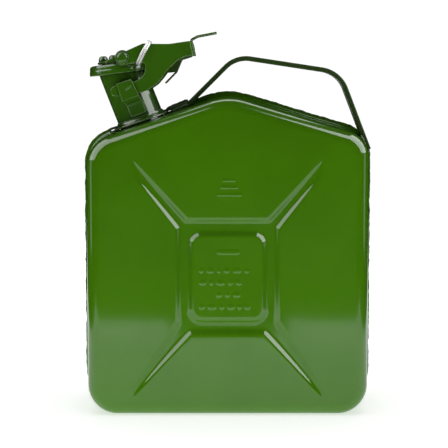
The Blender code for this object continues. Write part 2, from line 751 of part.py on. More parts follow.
def make_lever():
    """The cam lever: two cheeks joined by an end plate, with a thumb tab bent out of the plate's top."""
    lever = lever_part("cam_lever", prism(cheek_outline(), -CHEEK_OUTER, -CHEEK_INNER), (GREEN, 0.15, 0))
    rear = add_object("rear cheek", prism(cheek_outline(), CHEEK_INNER, CHEEK_OUTER), (GREEN, 0.15, 0))
    plate_path = mm_points((-30.1, 304.6), (-27.4, 292.6))
    plate = prism(thicken(plate_path, 1.8 * MM), -26.8 * MM, 26.8 * MM)
    plate = add_object("end plate", plate, (GREEN, 0.15, 0))
    tab_points = mm_points((-29.6, 302.6), (-30.2, 305.6), (-25.0, 308.4), (-8.9, 311.5))
    tab_path = bent_path(tab_points, [1.5 * MM, 5 * MM], 4)
    tab = add_object("tab", prism(thicken(tab_path, 1.6 * MM), -12 * MM, 12 * MM), (GREEN, 0.15, 0))
    for piece in (plate, rear, tab):
        combine(lever, piece, "UNION")
    drill(lever, pivot_centre(), PIN_RADIUS + 2 * PIN_PLAY, name="pivot hole")
    catch_rivet_drill(lever)
    return lever


def catch_rivet_frame(y):
    direction = Vector((-sin(PLATE_LEAN), 0, -cos(PLATE_LEAN)))
    return frame_at(Vector((CATCH_RIVET.x, y, CATCH_RIVET.y)), direction)


def catch_rivet_drill(obj):
    hole, reach = 2.0 * MM, 8 * MM
    for y in CATCH_RIVET_Y:
        bm = turned([(0, -reach), (hole, -reach), (hole, reach), (0, reach)], catch_rivet_frame(y), 16)
        combine(obj, add_object(f"catch hole {y:.3f} {obj.name}", bm, (GREEN, 0.3, 0)), "DIFFERENCE")


def make_catch():
    """The winged sheet hook under the tail that holds the open lever against the handle."""
    points = mm_points((-31.5, 303.2), (-29.0, 292.3), (-38.2, 289.4), (-42.7, 278.9), (-51.6, 269.8))
    path = bent_path(points, [2 * MM, 3 * MM, 1.5 * MM], 4)
    hook = prism(thicken(path, CATCH_SHEET), -CATCH_HALF_WIDTH, CATCH_HALF_WIDTH)
    catch = lever_part("hold_open_catch", hook, (DARK_GREEN, 0.3, 0))
    for side in (-1, 1):
        y0, y1 = sorted((side * CATCH_SIDE_INNER, side * (CATCH_HALF_WIDTH - 0.1 * MM)))
        wing = add_object(f"catch side {side}", prism(mm_points(*CATCH_SIDE), y0, y1), (DARK_GREEN, 0.3, 0))
        combine(catch, wing, "UNION")
    catch_rivet_drill(catch)
    return catch


def make_catch_rivet(number):
    shank, head = 1.7 * MM, 3.0 * MM
    profile = [(0, -1.75 * MM), (head - 0.4 * MM, -1.7 * MM), (head, -1.45 * MM)]
    profile += [(head, -1.2 * MM), (shank, -1.2 * MM)]
    profile += [(shank, 3.1 * MM), (head - 0.2 * MM, 3.1 * MM), (head - 0.4 * MM, 3.9 * MM), (0, 4.2 * MM)]
    rivet = turned(profile, catch_rivet_frame(CATCH_RIVET_Y[number]), 16)
    return lever_part(f"catch_rivet_{number + 1}", rivet, (GREEN, 0.2, 0))


def make_split_ring():
    """Two turns of wire round the front cheek's narrow part, drawn as one thick ring."""
    axis = Vector((cos(RING_LEAN), 0, -sin(RING_LEAN)))
    profile = []
    for step in range(8):
        angle = pi / 8 + pi / 4 * step
        rise = RING_WIRE * (sin(angle) + (1 if sin(angle) > 0 else -1))
        profile.append((RING_RADIUS + RING_WIRE * cos(angle), rise))
    ring = turned(profile, frame_at(RING_CENTRE, axis), 32)
    return add_object("split_ring", ring, (ZINC, 0.3, 1), RING_CENTRE)


def main():
    clear_scene()
    make_shell("front_shell", False)
    make_shell("rear_shell", True)
    make_handle()
    make_neck()
    make_collar()
    make_bracket("bracket_front", -1)
    make_bracket("bracket_rear", 1)
    make_hinge_lug()
    make_hinge_pin()
    make_vent_tube()
    make_lid()
    make_gasket()
    make_retainer()
    make_saddle()
    for number in range(2):
        make_saddle_rivet(number)
        make_catch_rivet(number)
    make_hinge_leaf()
    make_pivot_pin()
    make_pivot_washer("pivot_washer_front", -1)
    make_pivot_washer("pivot_washer_rear", 1)
    make_lever()
    make_catch()
    make_split_ring()


main()
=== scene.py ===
"""The looks of the five-litre steel jerry can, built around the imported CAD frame. Lengths are in metres."""

import json
from math import atan2, cos, pi, radians, sin, tan

import bmesh
import bpy
import numpy as np
from mathutils import Matrix, Vector
from mathutils.geometry import delaunay_2d_cdt


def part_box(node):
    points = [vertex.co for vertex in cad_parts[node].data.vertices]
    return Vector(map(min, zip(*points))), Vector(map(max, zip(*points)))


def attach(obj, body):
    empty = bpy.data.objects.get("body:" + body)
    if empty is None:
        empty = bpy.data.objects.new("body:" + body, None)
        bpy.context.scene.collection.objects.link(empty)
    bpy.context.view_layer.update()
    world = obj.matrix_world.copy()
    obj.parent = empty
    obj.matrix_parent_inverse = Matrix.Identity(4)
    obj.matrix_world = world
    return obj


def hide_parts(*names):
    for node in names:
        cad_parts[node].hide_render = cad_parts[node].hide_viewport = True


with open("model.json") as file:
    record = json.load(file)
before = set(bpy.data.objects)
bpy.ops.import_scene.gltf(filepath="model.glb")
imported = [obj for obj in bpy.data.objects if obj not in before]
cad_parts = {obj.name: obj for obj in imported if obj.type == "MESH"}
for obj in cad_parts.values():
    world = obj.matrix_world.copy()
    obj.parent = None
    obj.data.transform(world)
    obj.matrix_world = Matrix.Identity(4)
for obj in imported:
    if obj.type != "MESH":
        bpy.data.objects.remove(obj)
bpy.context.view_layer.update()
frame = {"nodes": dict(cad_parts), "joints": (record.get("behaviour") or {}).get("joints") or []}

MM = 0.001
SHELL_LOW, SHELL_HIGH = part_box("front_shell")
HALF_WIDTH = SHELL_HIGH[0]
HALF_DEPTH = -SHELL_LOW[1]
APEX_HEIGHT = 266.4 * MM
LEFT_SLOPE = radians(18.9)
RIGHT_SLOPE = radians(16.75)
NECK_AXIS = (-sin(LEFT_SLOPE), 0, cos(LEFT_SLOPE))
SEAM_HALF_GAP = 0.15 * MM
SHEET = 0.8 * MM
FLANGE = 4.0 * MM
FLANGE_FOOT = 1.0 * MM
DRAFT = 1.7 * MM
FACE_EDGE_RADIUS = 11 * MM
CORNER_RADII = {"base": 30 * MM, "right": 27 * MM, "apex": 54 * MM, "left": 31 * MM}
NECK_BASE = Vector((-73.0, 0, 241.6)) * MM
MOUTH_CENTRE = Vector((-88.4, 0, 280.5)) * MM
NECK_RADIUS = 19.1 * MM
MOUTH_RADIUS = 19.4 * MM
NECK_WALL = 1.5 * MM
LID_ORIGIN = Vector((-90.4, 0, 277.9)) * MM
LID_TILT = radians(7)
LID_RADIUS = 24.3 * MM
LID_HEIGHT = 8.7 * MM
JOINTS = {joint["name"]: joint for joint in frame["joints"]}
PIVOT = Vector(JOINTS["lever_pivot"]["pos_m"])
HINGE = Vector(JOINTS["lid_hinge"]["pos_m"])
RING_CENTRE = Vector(JOINTS["ring_turn"]["pos_m"])
RING_AXIS = Vector(JOINTS["ring_turn"]["axis"])


# ---------------------------------------------------------------- outlines and small mesh tools

def flat(point):
    """A point's place in the X-Z plane."""
    return Vector((point.x, point.z))


def mm(*values):
    """Millimetres as metres."""
    return [value * MM for value in values]


def mm_points(*pairs):
    return [Vector(pair) * MM for pair in pairs]


def evenly(low, high, count):
    return np.linspace(low, high, count).tolist()


def arc_about(centre, radius, start, end, steps):
    angles = [radians(start + (end - start) * i / steps) for i in range(steps + 1)]
    return [centre + Vector((cos(a), sin(a))) * radius for a in angles]


def full_turn(steps):
    return [2 * pi * step / steps for step in range(steps)]


def corner_arc(before, corner, after, radius, steps):
    """The points of a corner rounded to the radius."""
    back = (before - corner).normalized()
    ahead = (after - corner).normalized()
    half = back.angle(ahead) / 2
    middle = corner + (back + ahead).normalized() * radius / sin(half)
    start = corner + back * radius / tan(half) - middle
    turn = 1 if start.cross(corner - middle) > 0 else -1
    points = []
    for step in range(steps + 1):
        a = turn * (pi - 2 * half) * step / steps
        x, y = start.x * cos(a) - start.y * sin(a), start.x * sin(a) + start.y * cos(a)
        points.append(middle + Vector((x, y)))
    return points


def rounded_path(points, radii, steps=10, closed=False):
    """The path through the points with its corners rounded; an open path keeps its two ends."""
    made = []
    for i, corner in enumerate(points):
        end = not closed and i in (0, len(points) - 1)
        if end or radii[i] <= 0:
            made.append(corner.copy())
            continue
        made += corner_arc(points[i - 1], corner, points[(i + 1) % len(points)], radii[i], steps)
    return made


def thicken(path, thickness):
    """The closed outline of a sheet that follows the path, seen from its edge."""
    left, right = [], []
    for i, point in enumerate(path):
        back = path[max(i - 1, 0)]
        ahead = path[min(i + 1, len(path) - 1)]
        along = (ahead - back).normalized()
        side = Vector((-along.y, along.x)) * thickness / 2
        left.append(point + side)
        right.append(point - side)
    return left + right[::-1]


def add_object(name, data):
    obj = bpy.data.objects.new(name, data)
    bpy.context.scene.collection.objects.link(obj)
    return obj


def link(name, mesh, material, body, angle=35):
    """A smooth-shaded object with edges sharper than the angle kept crisp; it rides on the body, if any."""
    mesh.materials.clear()
    mesh.materials.append(material)
    mesh.shade_smooth()
    mesh.set_sharp_from_angle(angle=radians(angle))
    obj = add_object(name, mesh)
    if body:
        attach(obj, body)
    return obj


def extruded(corners, shift):
    """A solid from a flat face with these corners, pushed along shift."""
    bm = bmesh.new()
    face = bm.faces.new([bm.verts.new(corner) for corner in corners])
    moved = bmesh.ops.extrude_face_region(bm, geom=[face])["geom"]
    bmesh.ops.translate(bm, vec=shift, verts=[v for v in moved if isinstance(v, bmesh.types.BMVert)])
    return bm


def prism(outline, y0, y1):
    """The X-Z outline made solid from y0 to y1."""
    return extruded([(p.x, y0, p.y) for p in outline], (0, y1 - y0, 0))


def both_sides(outline, near, far):
    """The outline as a plate in front of the middle plane and another behind it, from near to far."""
    return [prism(outline, *sorted((side * near, side * far))) for side in (-1, 1)]


def swept_rings(rings, closed):
    """A skin over rings of equally many points: joined round on itself if closed, else capped."""
    bm = bmesh.new()
    made = [[bm.verts.new(p) for p in ring] for ring in rings]
    count = len(made[0])
    for low, high in zip(made, made[1:] + (made[:1] if closed else [])):
        for i in range(count):
            j = (i + 1) % count
            bm.faces.new((low[i], low[j], high[j], high[i]))
    if not closed:
        bm.faces.new(made[0][::-1])
        bm.faces.new(made[-1])
    return bm


def turned(profile, place, steps=64):
    """A profile of (radius, height) points turned about the Z axis of the frame called place."""
    bm = bmesh.new()
    rings = []
    for radius, height in profile:
        if radius < 1e-9:
            rings.append([bm.verts.new((0, 0, height))])
            continue
        rings.append([bm.verts.new((radius * cos(a), radius * sin(a), height)) for a in full_turn(steps)])
    closed = len(rings[0]) > 1 and len(rings[-1]) > 1
    pairs = list(zip(rings, rings[1:])) + ([(rings[-1], rings[0])] if closed else [])
    for low, high in pairs:
        if len(low) == 1 and len(high) == 1:
            continue
        for i in range(steps):
            j = (i + 1) % steps
            corners = [low[i % len(low)], low[j % len(low)], high[j % len(high)], high[i % len(high)]]
            bm.faces.new(list(dict.fromkeys(corners)))
    bm.transform(place)
    return bm


def soft_profile(points, radius, steps=3):
    """A turned part's profile with its corners off the axis rounded."""
    corners = [Vector(p) for p in points]
    closed = corners[0].x > 1e-9 and corners[-1].x > 1e-9
    made = []
    for i, corner in enumerate(corners):
        back, ahead = corners[i - 1], corners[(i + 1) % len(corners)]
        end = not closed and i in (0, len(corners) - 1)
        if end or corner.x < 1e-9:
            made.append(corner.copy())
            continue
        room = min((back - corner).length, (ahead - corner).length) * 0.45
        half = (back - corner).angle(ahead - corner, pi) / 2
        reach = min(radius / tan(half), room) if half < 1.5 else 0
        if reach < 1e-6:
            made.append(corner.copy())
            continue
        made += corner_arc(back, corner, ahead, reach * tan(half), steps)
    return [(p.x, p.y) for p in made]


def frame_at(origin, direction):
    return Matrix.Translation(origin) @ Vector(direction).to_track_quat("Z", "Y").to_matrix().to_4x4()


def lid_frame():
    """The frame of the lid's rim, with its Z axis along the lid's own axis."""
    return Matrix.Translation(LID_ORIGIN) @ Matrix.Rotation(-LID_TILT, 4, "Y")


def from_lid(u, w):
    """The X-Z point that lies u to the right of the lid's axis and w above its rim."""
    return flat(lid_frame() @ Vector((u, 0, w)))


def bevelled(obj, width):
    """The object with its sharp edges rounded to this width."""
    modifier = obj.modifiers.new("edges", "BEVEL")
    modifier.width = width
    modifier.segments = 3
    modifier.limit_method = "ANGLE"
    modifier.angle_limit = radians(40)
    modifier.harden_normals = True
    return obj


# ---------------------------------------------------------------- materials

class Nodes:
    """A short way to write a material's node tree."""

    def __init__(self, name):
        self.material = bpy.data.materials.new(name)
        self.material.use_nodes = True
        self.tree = self.material.node_tree
        self.shader = self.tree.nodes["Principled BSDF"]
        self.place = self.add("ShaderNodeTexCoord").outputs["Object"]

    def add(self, kind, **settings):
        node = self.tree.nodes.new(kind)
        for key, value in settings.items():
            setattr(node, key, value)
        return node

    def join(self, output, socket):
        self.tree.links.new(output, socket)

    def noise(self, scale, detail=4, roughness=0.5, stretch=None):
        node = self.add("ShaderNodeTexNoise")
        node.inputs["Scale"].default_value = scale
        node.inputs["Detail"].default_value = detail
        node.inputs["Roughness"].default_value = roughness
        source = self.place
        if stretch:
            mapping = self.add("ShaderNodeMapping")
            mapping.inputs["Scale"].default_value = stretch
            self.join(self.place, mapping.inputs["Vector"])
            source = mapping.outputs["Vector"]
        self.join(source, node.inputs["Vector"])
        return node.outputs["Fac"]

    def ramp(self, value, low, high, start, end):
        node = self.add("ShaderNodeMapRange")
        node.inputs["From Min"].default_value = low
        node.inputs["From Max"].default_value = high
        node.inputs["To Min"].default_value = start
        node.inputs["To Max"].default_value = end
        self.join(value, node.inputs["Value"])
        return node.outputs["Result"]

    def blend(self, factor, first, second):
        node = self.add("ShaderNodeMix", data_type="RGBA")
        self.join(factor, node.inputs["Factor"])
        for value, socket in ((first, node.inputs[6]), (second, node.inputs[7])):
            if isinstance(value, tuple):
                socket.default_value = (*value, 1)
            else:
                self.join(value, socket)
        return node.outputs[2]

    def mottled(self, value, first, second, low=0.35, high=0.65):
        """The first colour where the value is low, the second where it's high."""
        return self.blend(self.ramp(value, low, high, 0, 1), first, second)

    def bump(self, height, distance, strength=1.0, after=None):
        node = self.add("ShaderNodeBump")
        node.inputs["Strength"].default_value = strength
        node.inputs["Distance"].default_value = distance
        self.join(height, node.inputs["Height"])
        if after:
            self.join(after, node.inputs["Normal"])
        return node.outputs["Normal"]

    def set(self, **values):
        for key, value in values.items():
            socket = self.shader.inputs[key.replace("_", " ")]
            if isinstance(value, (tuple, int, float)):
                socket.default_value = (*value, 1) if isinstance(value, tuple) else value
            else:
                self.join(value, socket)


def darker(colour, share):
    return tuple(c * share for c in colour)


def edge_highlight_mask(nodes, radius):
    """Close to 1 on the edges of a piece and 0 elsewhere; it lays a painted highlight along the edges,
    standing in for light caught by their rounding, and partly for enamel drawn thin there.
    """
    bevel = nodes.add("ShaderNodeBevel", samples=6)
    bevel.inputs["Radius"].default_value = radius
    face = nodes.add("ShaderNodeNewGeometry")
    turn = nodes.add("ShaderNodeVectorMath", operation="DOT_PRODUCT")
    nodes.join(bevel.outputs["Normal"], turn.inputs[0])
    nodes.join(face.outputs["Normal"], turn.inputs[1])
    return nodes.ramp(turn.outputs["Value"], 0.99, 0.84, 0, 1.0)


def painted_shade_mask(nodes, reach):
    """Close to 1 in corners and under overhangs, where shade is painted into the colour, and 0 in the open.
    """
    shut = nodes.add("ShaderNodeAmbientOcclusion", samples=8)
    shut.inputs["Distance"].default_value = reach
    return nodes.ramp(shut.outputs["AO"], 0.3, 0.85, 0.9, 0)


def paint(name, colour, shade, roughness, orange_peel, edge=None, coat=0.55):
    """Baked enamel: a coloured coat with a faint orange peel, slight cloudiness and clear gloss on top."""
    nodes = Nodes(name)
    base = nodes.mottled(nodes.noise(14, 5, 0.55), colour, shade)
    speck = nodes.ramp(nodes.noise(160, 3, 0.5), 0.3, 0.7, 0.0, 0.12)
    base = nodes.blend(speck, base, darker(colour, 0.8))
    if edge:
        # painted shade: the enamel is darkened in crevices and under overhangs, where shadow falls
        base = nodes.blend(painted_shade_mask(nodes, 14 * MM), base, darker(colour, 0.15))
        # painted highlight: the enamel is lightened along edges, where rounded edges catch the light; thin
        # enamel there is only part of it
        base = nodes.blend(edge_highlight_mask(nodes, 0.9 * MM), base, edge)
    rough = nodes.ramp(nodes.noise(60, 4, 0.6), 0.3, 0.7, roughness * 0.8, roughness * 1.25)
    nodes.set(Base_Color=base, Roughness=rough, Specular_IOR_Level=0.3)
    peel = nodes.noise(420, 2, 0.5)
    fine = nodes.noise(1600, 2, 0.5)
    nodes.set(Normal=nodes.bump(fine, orange_peel * 0.12, after=nodes.bump(peel, orange_peel)))
    over = nodes.bump(peel, orange_peel * 0.7)
    nodes.set(Coat_Weight=coat, Coat_Roughness=0.07, Coat_IOR=1.5, Coat_Normal=over)
    return nodes.material


def weld_paint(name, colour, shade):
    """Enamel over a rough weld: darker and lumpy."""
    nodes = Nodes(name)
    lumps = nodes.noise(500, 5, 0.65)
    nodes.set(Base_Color=nodes.mottled(lumps, colour, shade))
    nodes.set(Roughness=nodes.ramp(lumps, 0.3, 0.7, 0.3, 0.55), Coat_Weight=0.3, Coat_Roughness=0.2)
    nodes.set(Normal=nodes.bump(lumps, 0.35 * MM, 0.8))
    return nodes.material


def zinc(name, tint, roughness, metallic):
    """Plated steel, spangled and faintly streaked; it scatters light as well as mirroring it."""
    nodes = Nodes(name)
    spangle = nodes.noise(380, 4, 0.6)
    streak = nodes.noise(240, 3, 0.6, stretch=(1, 6, 1))
    nodes.set(Base_Color=nodes.mottled(spangle, tint, darker(tint, 0.82)))
    nodes.set(Metallic=metallic, Roughness=nodes.ramp(streak, 0.3, 0.7, roughness * 0.7, roughness * 1.4))
    nodes.set(Normal=nodes.bump(streak, 0.02 * MM))
    return nodes.material


def rubber(name):
    nodes = Nodes(name)
    grain = nodes.noise(900, 4, 0.6)
    nodes.set(Base_Color=nodes.mottled(grain, (0.012, 0.012, 0.012), (0.03, 0.03, 0.028), 0.3, 0.7))
    nodes.set(Roughness=nodes.ramp(grain, 0.3, 0.7, 0.55, 0.8), Specular_IOR_Level=0.35)
    nodes.set(Normal=nodes.bump(grain, 0.03 * MM))
    return nodes.material


GREEN = (0.062, 0.205, 0.0015)
GREEN_SHADE = (0.053, 0.182, 0.0012)
FITTING_GREEN = (0.05, 0.165, 0.005)
FITTING_SHADE = (0.04, 0.135, 0.0045)
# the tank's green enamel darkened as painted shade, for the handle, its welds and the catch, which lie in
# shade
HANDLE_GREEN_IN_PAINTED_SHADE = (0.03, 0.072, 0.007)
HANDLE_MOTTLE_IN_PAINTED_SHADE = (0.024, 0.058, 0.006)
# the colour of the painted highlight along the fittings' edges
EDGE_HIGHLIGHT_GREEN = (0.42, 0.6, 0.3)
TANK = paint("tank enamel", GREEN, GREEN_SHADE, 0.1, 0.008 * MM)
# the fitting enamel carries painted shade in its crevices and a painted highlight on its edges
FITTING = paint("fitting enamel", FITTING_GREEN, FITTING_SHADE, 0.16, 0.014 * MM, EDGE_HIGHLIGHT_GREEN)
ENAMEL_IN_PAINTED_SHADE = paint("enamel in painted shade", HANDLE_GREEN_IN_PAINTED_SHADE, HANDLE_MOTTLE_IN_PAINTED_SHADE, 0.34, 0.014 * MM, coat=0.12)
WELD = weld_paint("painted weld", (0.028, 0.06, 0.008), (0.018, 0.032, 0.006))
ZINC = zinc("zinc plate", (0.86, 0.86, 0.85), 0.42, 0.55)
DULL_ZINC = zinc("dull zinc", (0.55, 0.55, 0.53), 0.4, 1.0)
RUBBER = rubber("nitrile rubber")


# ---------------------------------------------------------------- tank shells

ARC_STEPS = 22
STRAIGHT_STEP = 2.2 * MM


def tank_corners(side, base):
    """The X-Z outline inset by side from the flange's edge, with its lower edge at base."""
    half = HALF_WIDTH - side
    left_drop = side / cos(LEFT_SLOPE)
    right_drop = side / cos(RIGHT_SLOPE)
    apex = APEX_HEIGHT - (left_drop + right_drop) / 2
    apex_x = (right_drop - left_drop) / (tan(LEFT_SLOPE) + tan(RIGHT_SLOPE))
    return [
        Vector((-half, base)),
        Vector((half, base)),
        Vector((half, APEX_HEIGHT - right_drop - half * tan(RIGHT_SLOPE))),
        Vector((apex_x, apex)),
        Vector((-half, APEX_HEIGHT - left_drop - half * tan(LEFT_SLOPE))),
    ]


def straight_counts():
    corners = tank_corners(0, 0)
    return [max(int((corners[(i + 1) % 5] - c).length / STRAIGHT_STEP), 2) for i, c in enumerate(corners)]


STRAIGHTS = straight_counts()


def tank_ring(side, base):
    """The inset outline as an array of (x, z); every inset has the same number of points in step."""
    names = ("base", "base", "right", "apex", "left")
    corners = tank_corners(side, base)
    arcs = []
    for i, corner in enumerate(corners):
        radius = CORNER_RADII[names[i]] - min(side, 15 * MM)
        arcs.append(corner_arc(corners[i - 1], corner, corners[(i + 1) % 5], radius, ARC_STEPS))
    points = []
    for i, arc in enumerate(arcs):
        points += arc
        start, end = arc[-1], arcs[(i + 1) % 5][0]
        for step in range(1, STRAIGHTS[i]):
            points.append(start.lerp(end, step / STRAIGHTS[i]))
    return np.array([(p.x, p.y) for p in points])


def smooth_step(value):
    value = np.clip(value, 0, 1)
    return value * value * (3 - 2 * value)


def base_height(depth):
    """The lower wall's height: the seam lies in a recess, so that the can stands flat on both sides of it."""
    return (FLANGE_FOOT + FLANGE) * (1 - float(smooth_step((depth - 4 * MM) / (7 * MM))))


def wave(values, seeds, amplitude):
    """A fixed sum of sines that looks irregular."""
    return amplitude * sum(np.sin(values * k + p) / (i + 1) for i, (k, p) in enumerate(seeds))


def outer_stations():
    """(depth from the seam, inset, height of the lower edge) from the flange's edge to the flat face."""
    lip, fillet = 0.3 * MM, 1.5 * MM
    top = SEAM_HALF_GAP + SHEET
    stations = []
    for a in (0, 45, 90):
        t = radians(a)
        stations.append((top - lip + lip * sin(t), lip - lip * cos(t), FLANGE_FOOT + lip - lip * cos(t)))
    stations.append((top, FLANGE - fillet, FLANGE_FOOT + FLANGE - fillet))
    for a in (22.5, 45, 67.5, 90):
        t = radians(a)
        inset = FLANGE - fillet + fillet * sin(t)
        stations.append((top + fillet * (1 - cos(t)), inset, FLANGE_FOOT + inset))
    wall_end = HALF_DEPTH - FACE_EDGE_RADIUS
    rows = 22
    for row in range(1, rows + 1):
        depth = top + fillet + (wall_end - top - fillet) * row / rows
        share = depth / wall_end
        stations.append((depth, FLANGE + DRAFT * share, base_height(depth)))
    turns = 14
    for step in range(1, turns + 1):
        t = pi / 2 * step / turns
        inset = FACE_EDGE_RADIUS * (1 - cos(t))
        stations.append((HALF_DEPTH - FACE_EDGE_RADIUS * (1 - sin(t)), FLANGE + DRAFT + inset, inset))
    return stations


def flange_wear(ring):
    """How far the rough trimmed edge stands back from the true outline at each point."""
    turn = np.cumsum(np.hypot(*np.diff(ring, axis=0, append=ring[:1]).T)) / MM
    rough = wave(turn, [(0.11, 0.3), (0.31, 1.9), (0.73, 4.1), (1.37, 2.2)], 0.28 * MM)
    burrs = np.clip(wave(turn, [(0.53, 1.0), (0.89, 3.0), (1.9, 5.0)], 0.5 * MM), 0, None)
    return np.clip(0.55 * MM + rough + burrs * 0.5, 0, 1.8 * MM)


def neck_reach(points):
    """Distance from the neck's axis for points (x, y, z)."""
    axis = np.array(NECK_AXIS)
    offset = points - np.array(NECK_BASE)
    return np.linalg.norm(offset - np.outer(offset @ axis, axis), axis=1)


LIP_STATIONS = 3
FLANGE_STATIONS = 4
FLANGE_STOP = 25 * MM
FLANGE_FADE = 4 * MM
NECK_HOLE_RADIUS = 20.6 * MM
SHOULDER_LOWEST = 200 * MM


def wall_rings():
    """The side wall's rings as an array (station, point, xyz) for the front half."""
    rings = []
    wear = flange_wear(tank_ring(0, FLANGE_FOOT))
    inner = tank_ring(FLANGE, FLANGE_FOOT + FLANGE)
    for number, (depth, side, base) in enumerate(outer_stations()):
        ring = tank_ring(side, base)
        if number < FLANGE_STATIONS:
            in_seam = np.column_stack((ring[:, 0], 0 * ring[:, 0], ring[:, 1]))
            near = 1 - smooth_step((neck_reach(in_seam) - FLANGE_STOP) / FLANGE_FADE)
            pull = np.maximum(wear / FLANGE if number < LIP_STATIONS else 0 * wear, near)[:, None]
            ring = ring + (inner - ring) * pull
        rings.append(np.column_stack((ring[:, 0], np.full(len(ring), -depth), ring[:, 1])))
    return np.array(rings)


PANEL_CENTRE = Vector((0, 113.2)) * MM
PANEL_HALF = (28.0 * MM, 33.6 * MM)
PANEL_CORNER = 7 * MM
CHANNEL_HALF_WIDTH = 42.0 * MM
CHANNEL_LEVELS = {1: (32.5 * MM, 161.4 * MM, 152.8 * MM), -1: (29.5 * MM, 66.6 * MM, 77.0 * MM)}
CHANNEL_DEPTH = 3.1 * MM
CHANNEL_WALL = 3.9 * MM
ARM_TIPS = {1: mm_points((78.5, 211.0), (72.6, 192.4)), -1: mm_points((78.0, 14.8), (74.5, 25.5))}
ARM_START = 34 * MM
ARM_END = 81.0 * MM
SUNK_CENTRE = (0, 125 * MM)
SUNK_HALF = (104 * MM, 112 * MM)
SUNK_FADE = 30 * MM
MARK_HEIGHT = 0.4 * MM
MARK_GAP = 3.4
RASTER_STEP = 0.3 * MM
RELIEF_BLUR = 0.85 * MM
MARK_BLUR = 0.3 * MM


def channel_polygon():
    """The channel's outer edge: a rectangle with cut corners and an arm running out of each."""
    quarter = {}
    for sign in (1, -1):
        outer, inner = ARM_TIPS[sign]
        reach, level, shoulder = CHANNEL_LEVELS[sign]
        quarter[sign] = [Vector((reach, level)), outer, inner, Vector((CHANNEL_HALF_WIDTH, shoulder))]
    right = quarter[1] + quarter[-1][::-1]
    left = [Vector((-p.x, p.y)) for p in right][::-1]
    return np.array([(p.x, p.y) for p in right + left])


def polygon_distance(points, polygon):
    """Signed distance to the polygon's edge, positive inside."""
    x, z = points[..., 0], points[..., 1]
    nearest = np.full(x.shape, 1e9)
    inside = np.zeros(x.shape, bool)
    for a, b in zip(polygon, np.roll(polygon, -1, axis=0)):
        edge = b - a
        t = np.clip(((x - a[0]) * edge[0] + (z - a[1]) * edge[1]) / (edge @ edge), 0, 1)
        nearest = np.minimum(nearest, np.hypot(x - a[0] - t * edge[0], z - a[1] - t * edge[1]))
        crosses = (a[1] > z) != (b[1] > z)
        with np.errstate(divide="ignore", invalid="ignore"):
            at = a[0] + (z - a[1]) * edge[0] / edge[1]
        inside ^= crosses & (x < at)
    return np.where(inside, nearest, -nearest)


def box_distance(points, centre, half, radius):
    """Signed distance to a rounded box's edge, positive outside."""
    qx = np.abs(points[..., 0] - centre[0]) - half[0] + radius
    qz = np.abs(points[..., 1] - centre[1]) - half[1] + radius
    return np.hypot(np.maximum(qx, 0), np.maximum(qz, 0)) + np.minimum(np.maximum(qx, qz), 0) - radius


def arm_fade(points):
    """How deep the channel is: 1 round the panel, falling to 0 at an arm's tips."""
    reach = (np.abs(points[..., 0]) - ARM_START) / (ARM_END - ARM_START)
    return np.clip(1 - np.clip(reach, 0, 1) ** 1.9, 0, 1)


def blurred(field, width):
    """The field smoothed by a bell of this width, in cells."""
    reach = int(3 * width) + 1
    bell = np.exp(-0.5 * (np.arange(-reach, reach + 1) / width) ** 2)
    bell /= bell.sum()
    for axis in (0, 1):
        padded = np.pad(field, [(reach, reach) if a == axis else (0, 0) for a in (0, 1)], mode="edge")
        count = field.shape[axis]
        field = sum(w * np.take(padded, range(i, i + count), axis=axis) for i, w in enumerate(bell))
    return field


def mark_boxes():
    """Plain raised dashes that stand where the real can has its text: (x, z, half width, half height)."""
    dash = 0.75 * MM
    boxes = [(0.5 * MM, 134 * MM, 9 * MM, 1.6 * MM)]
    for z, half in ((192.0, 5.0), (186.2, 7.5), (180.4, 10.0)):
        boxes.append((1.2 * MM, z * MM, half * MM, dash))
    for z, x, lengths in (
        (119.0, -23.0, (3, 5, 2, 4, 6, 3)),
        (109.2, -22.5, (5, 2, 6, 3, 4)),
        (99.2, -9.0, (4, 3, 5)),
        (89.4, -23.0, (4, 6, 3, 5, 2, 4)),
    ):
        for length in lengths:
            boxes.append(((x + length / 2) * MM, z * MM, length / 2 * MM, 1.7 * MM))
            x += length + MARK_GAP
    return boxes


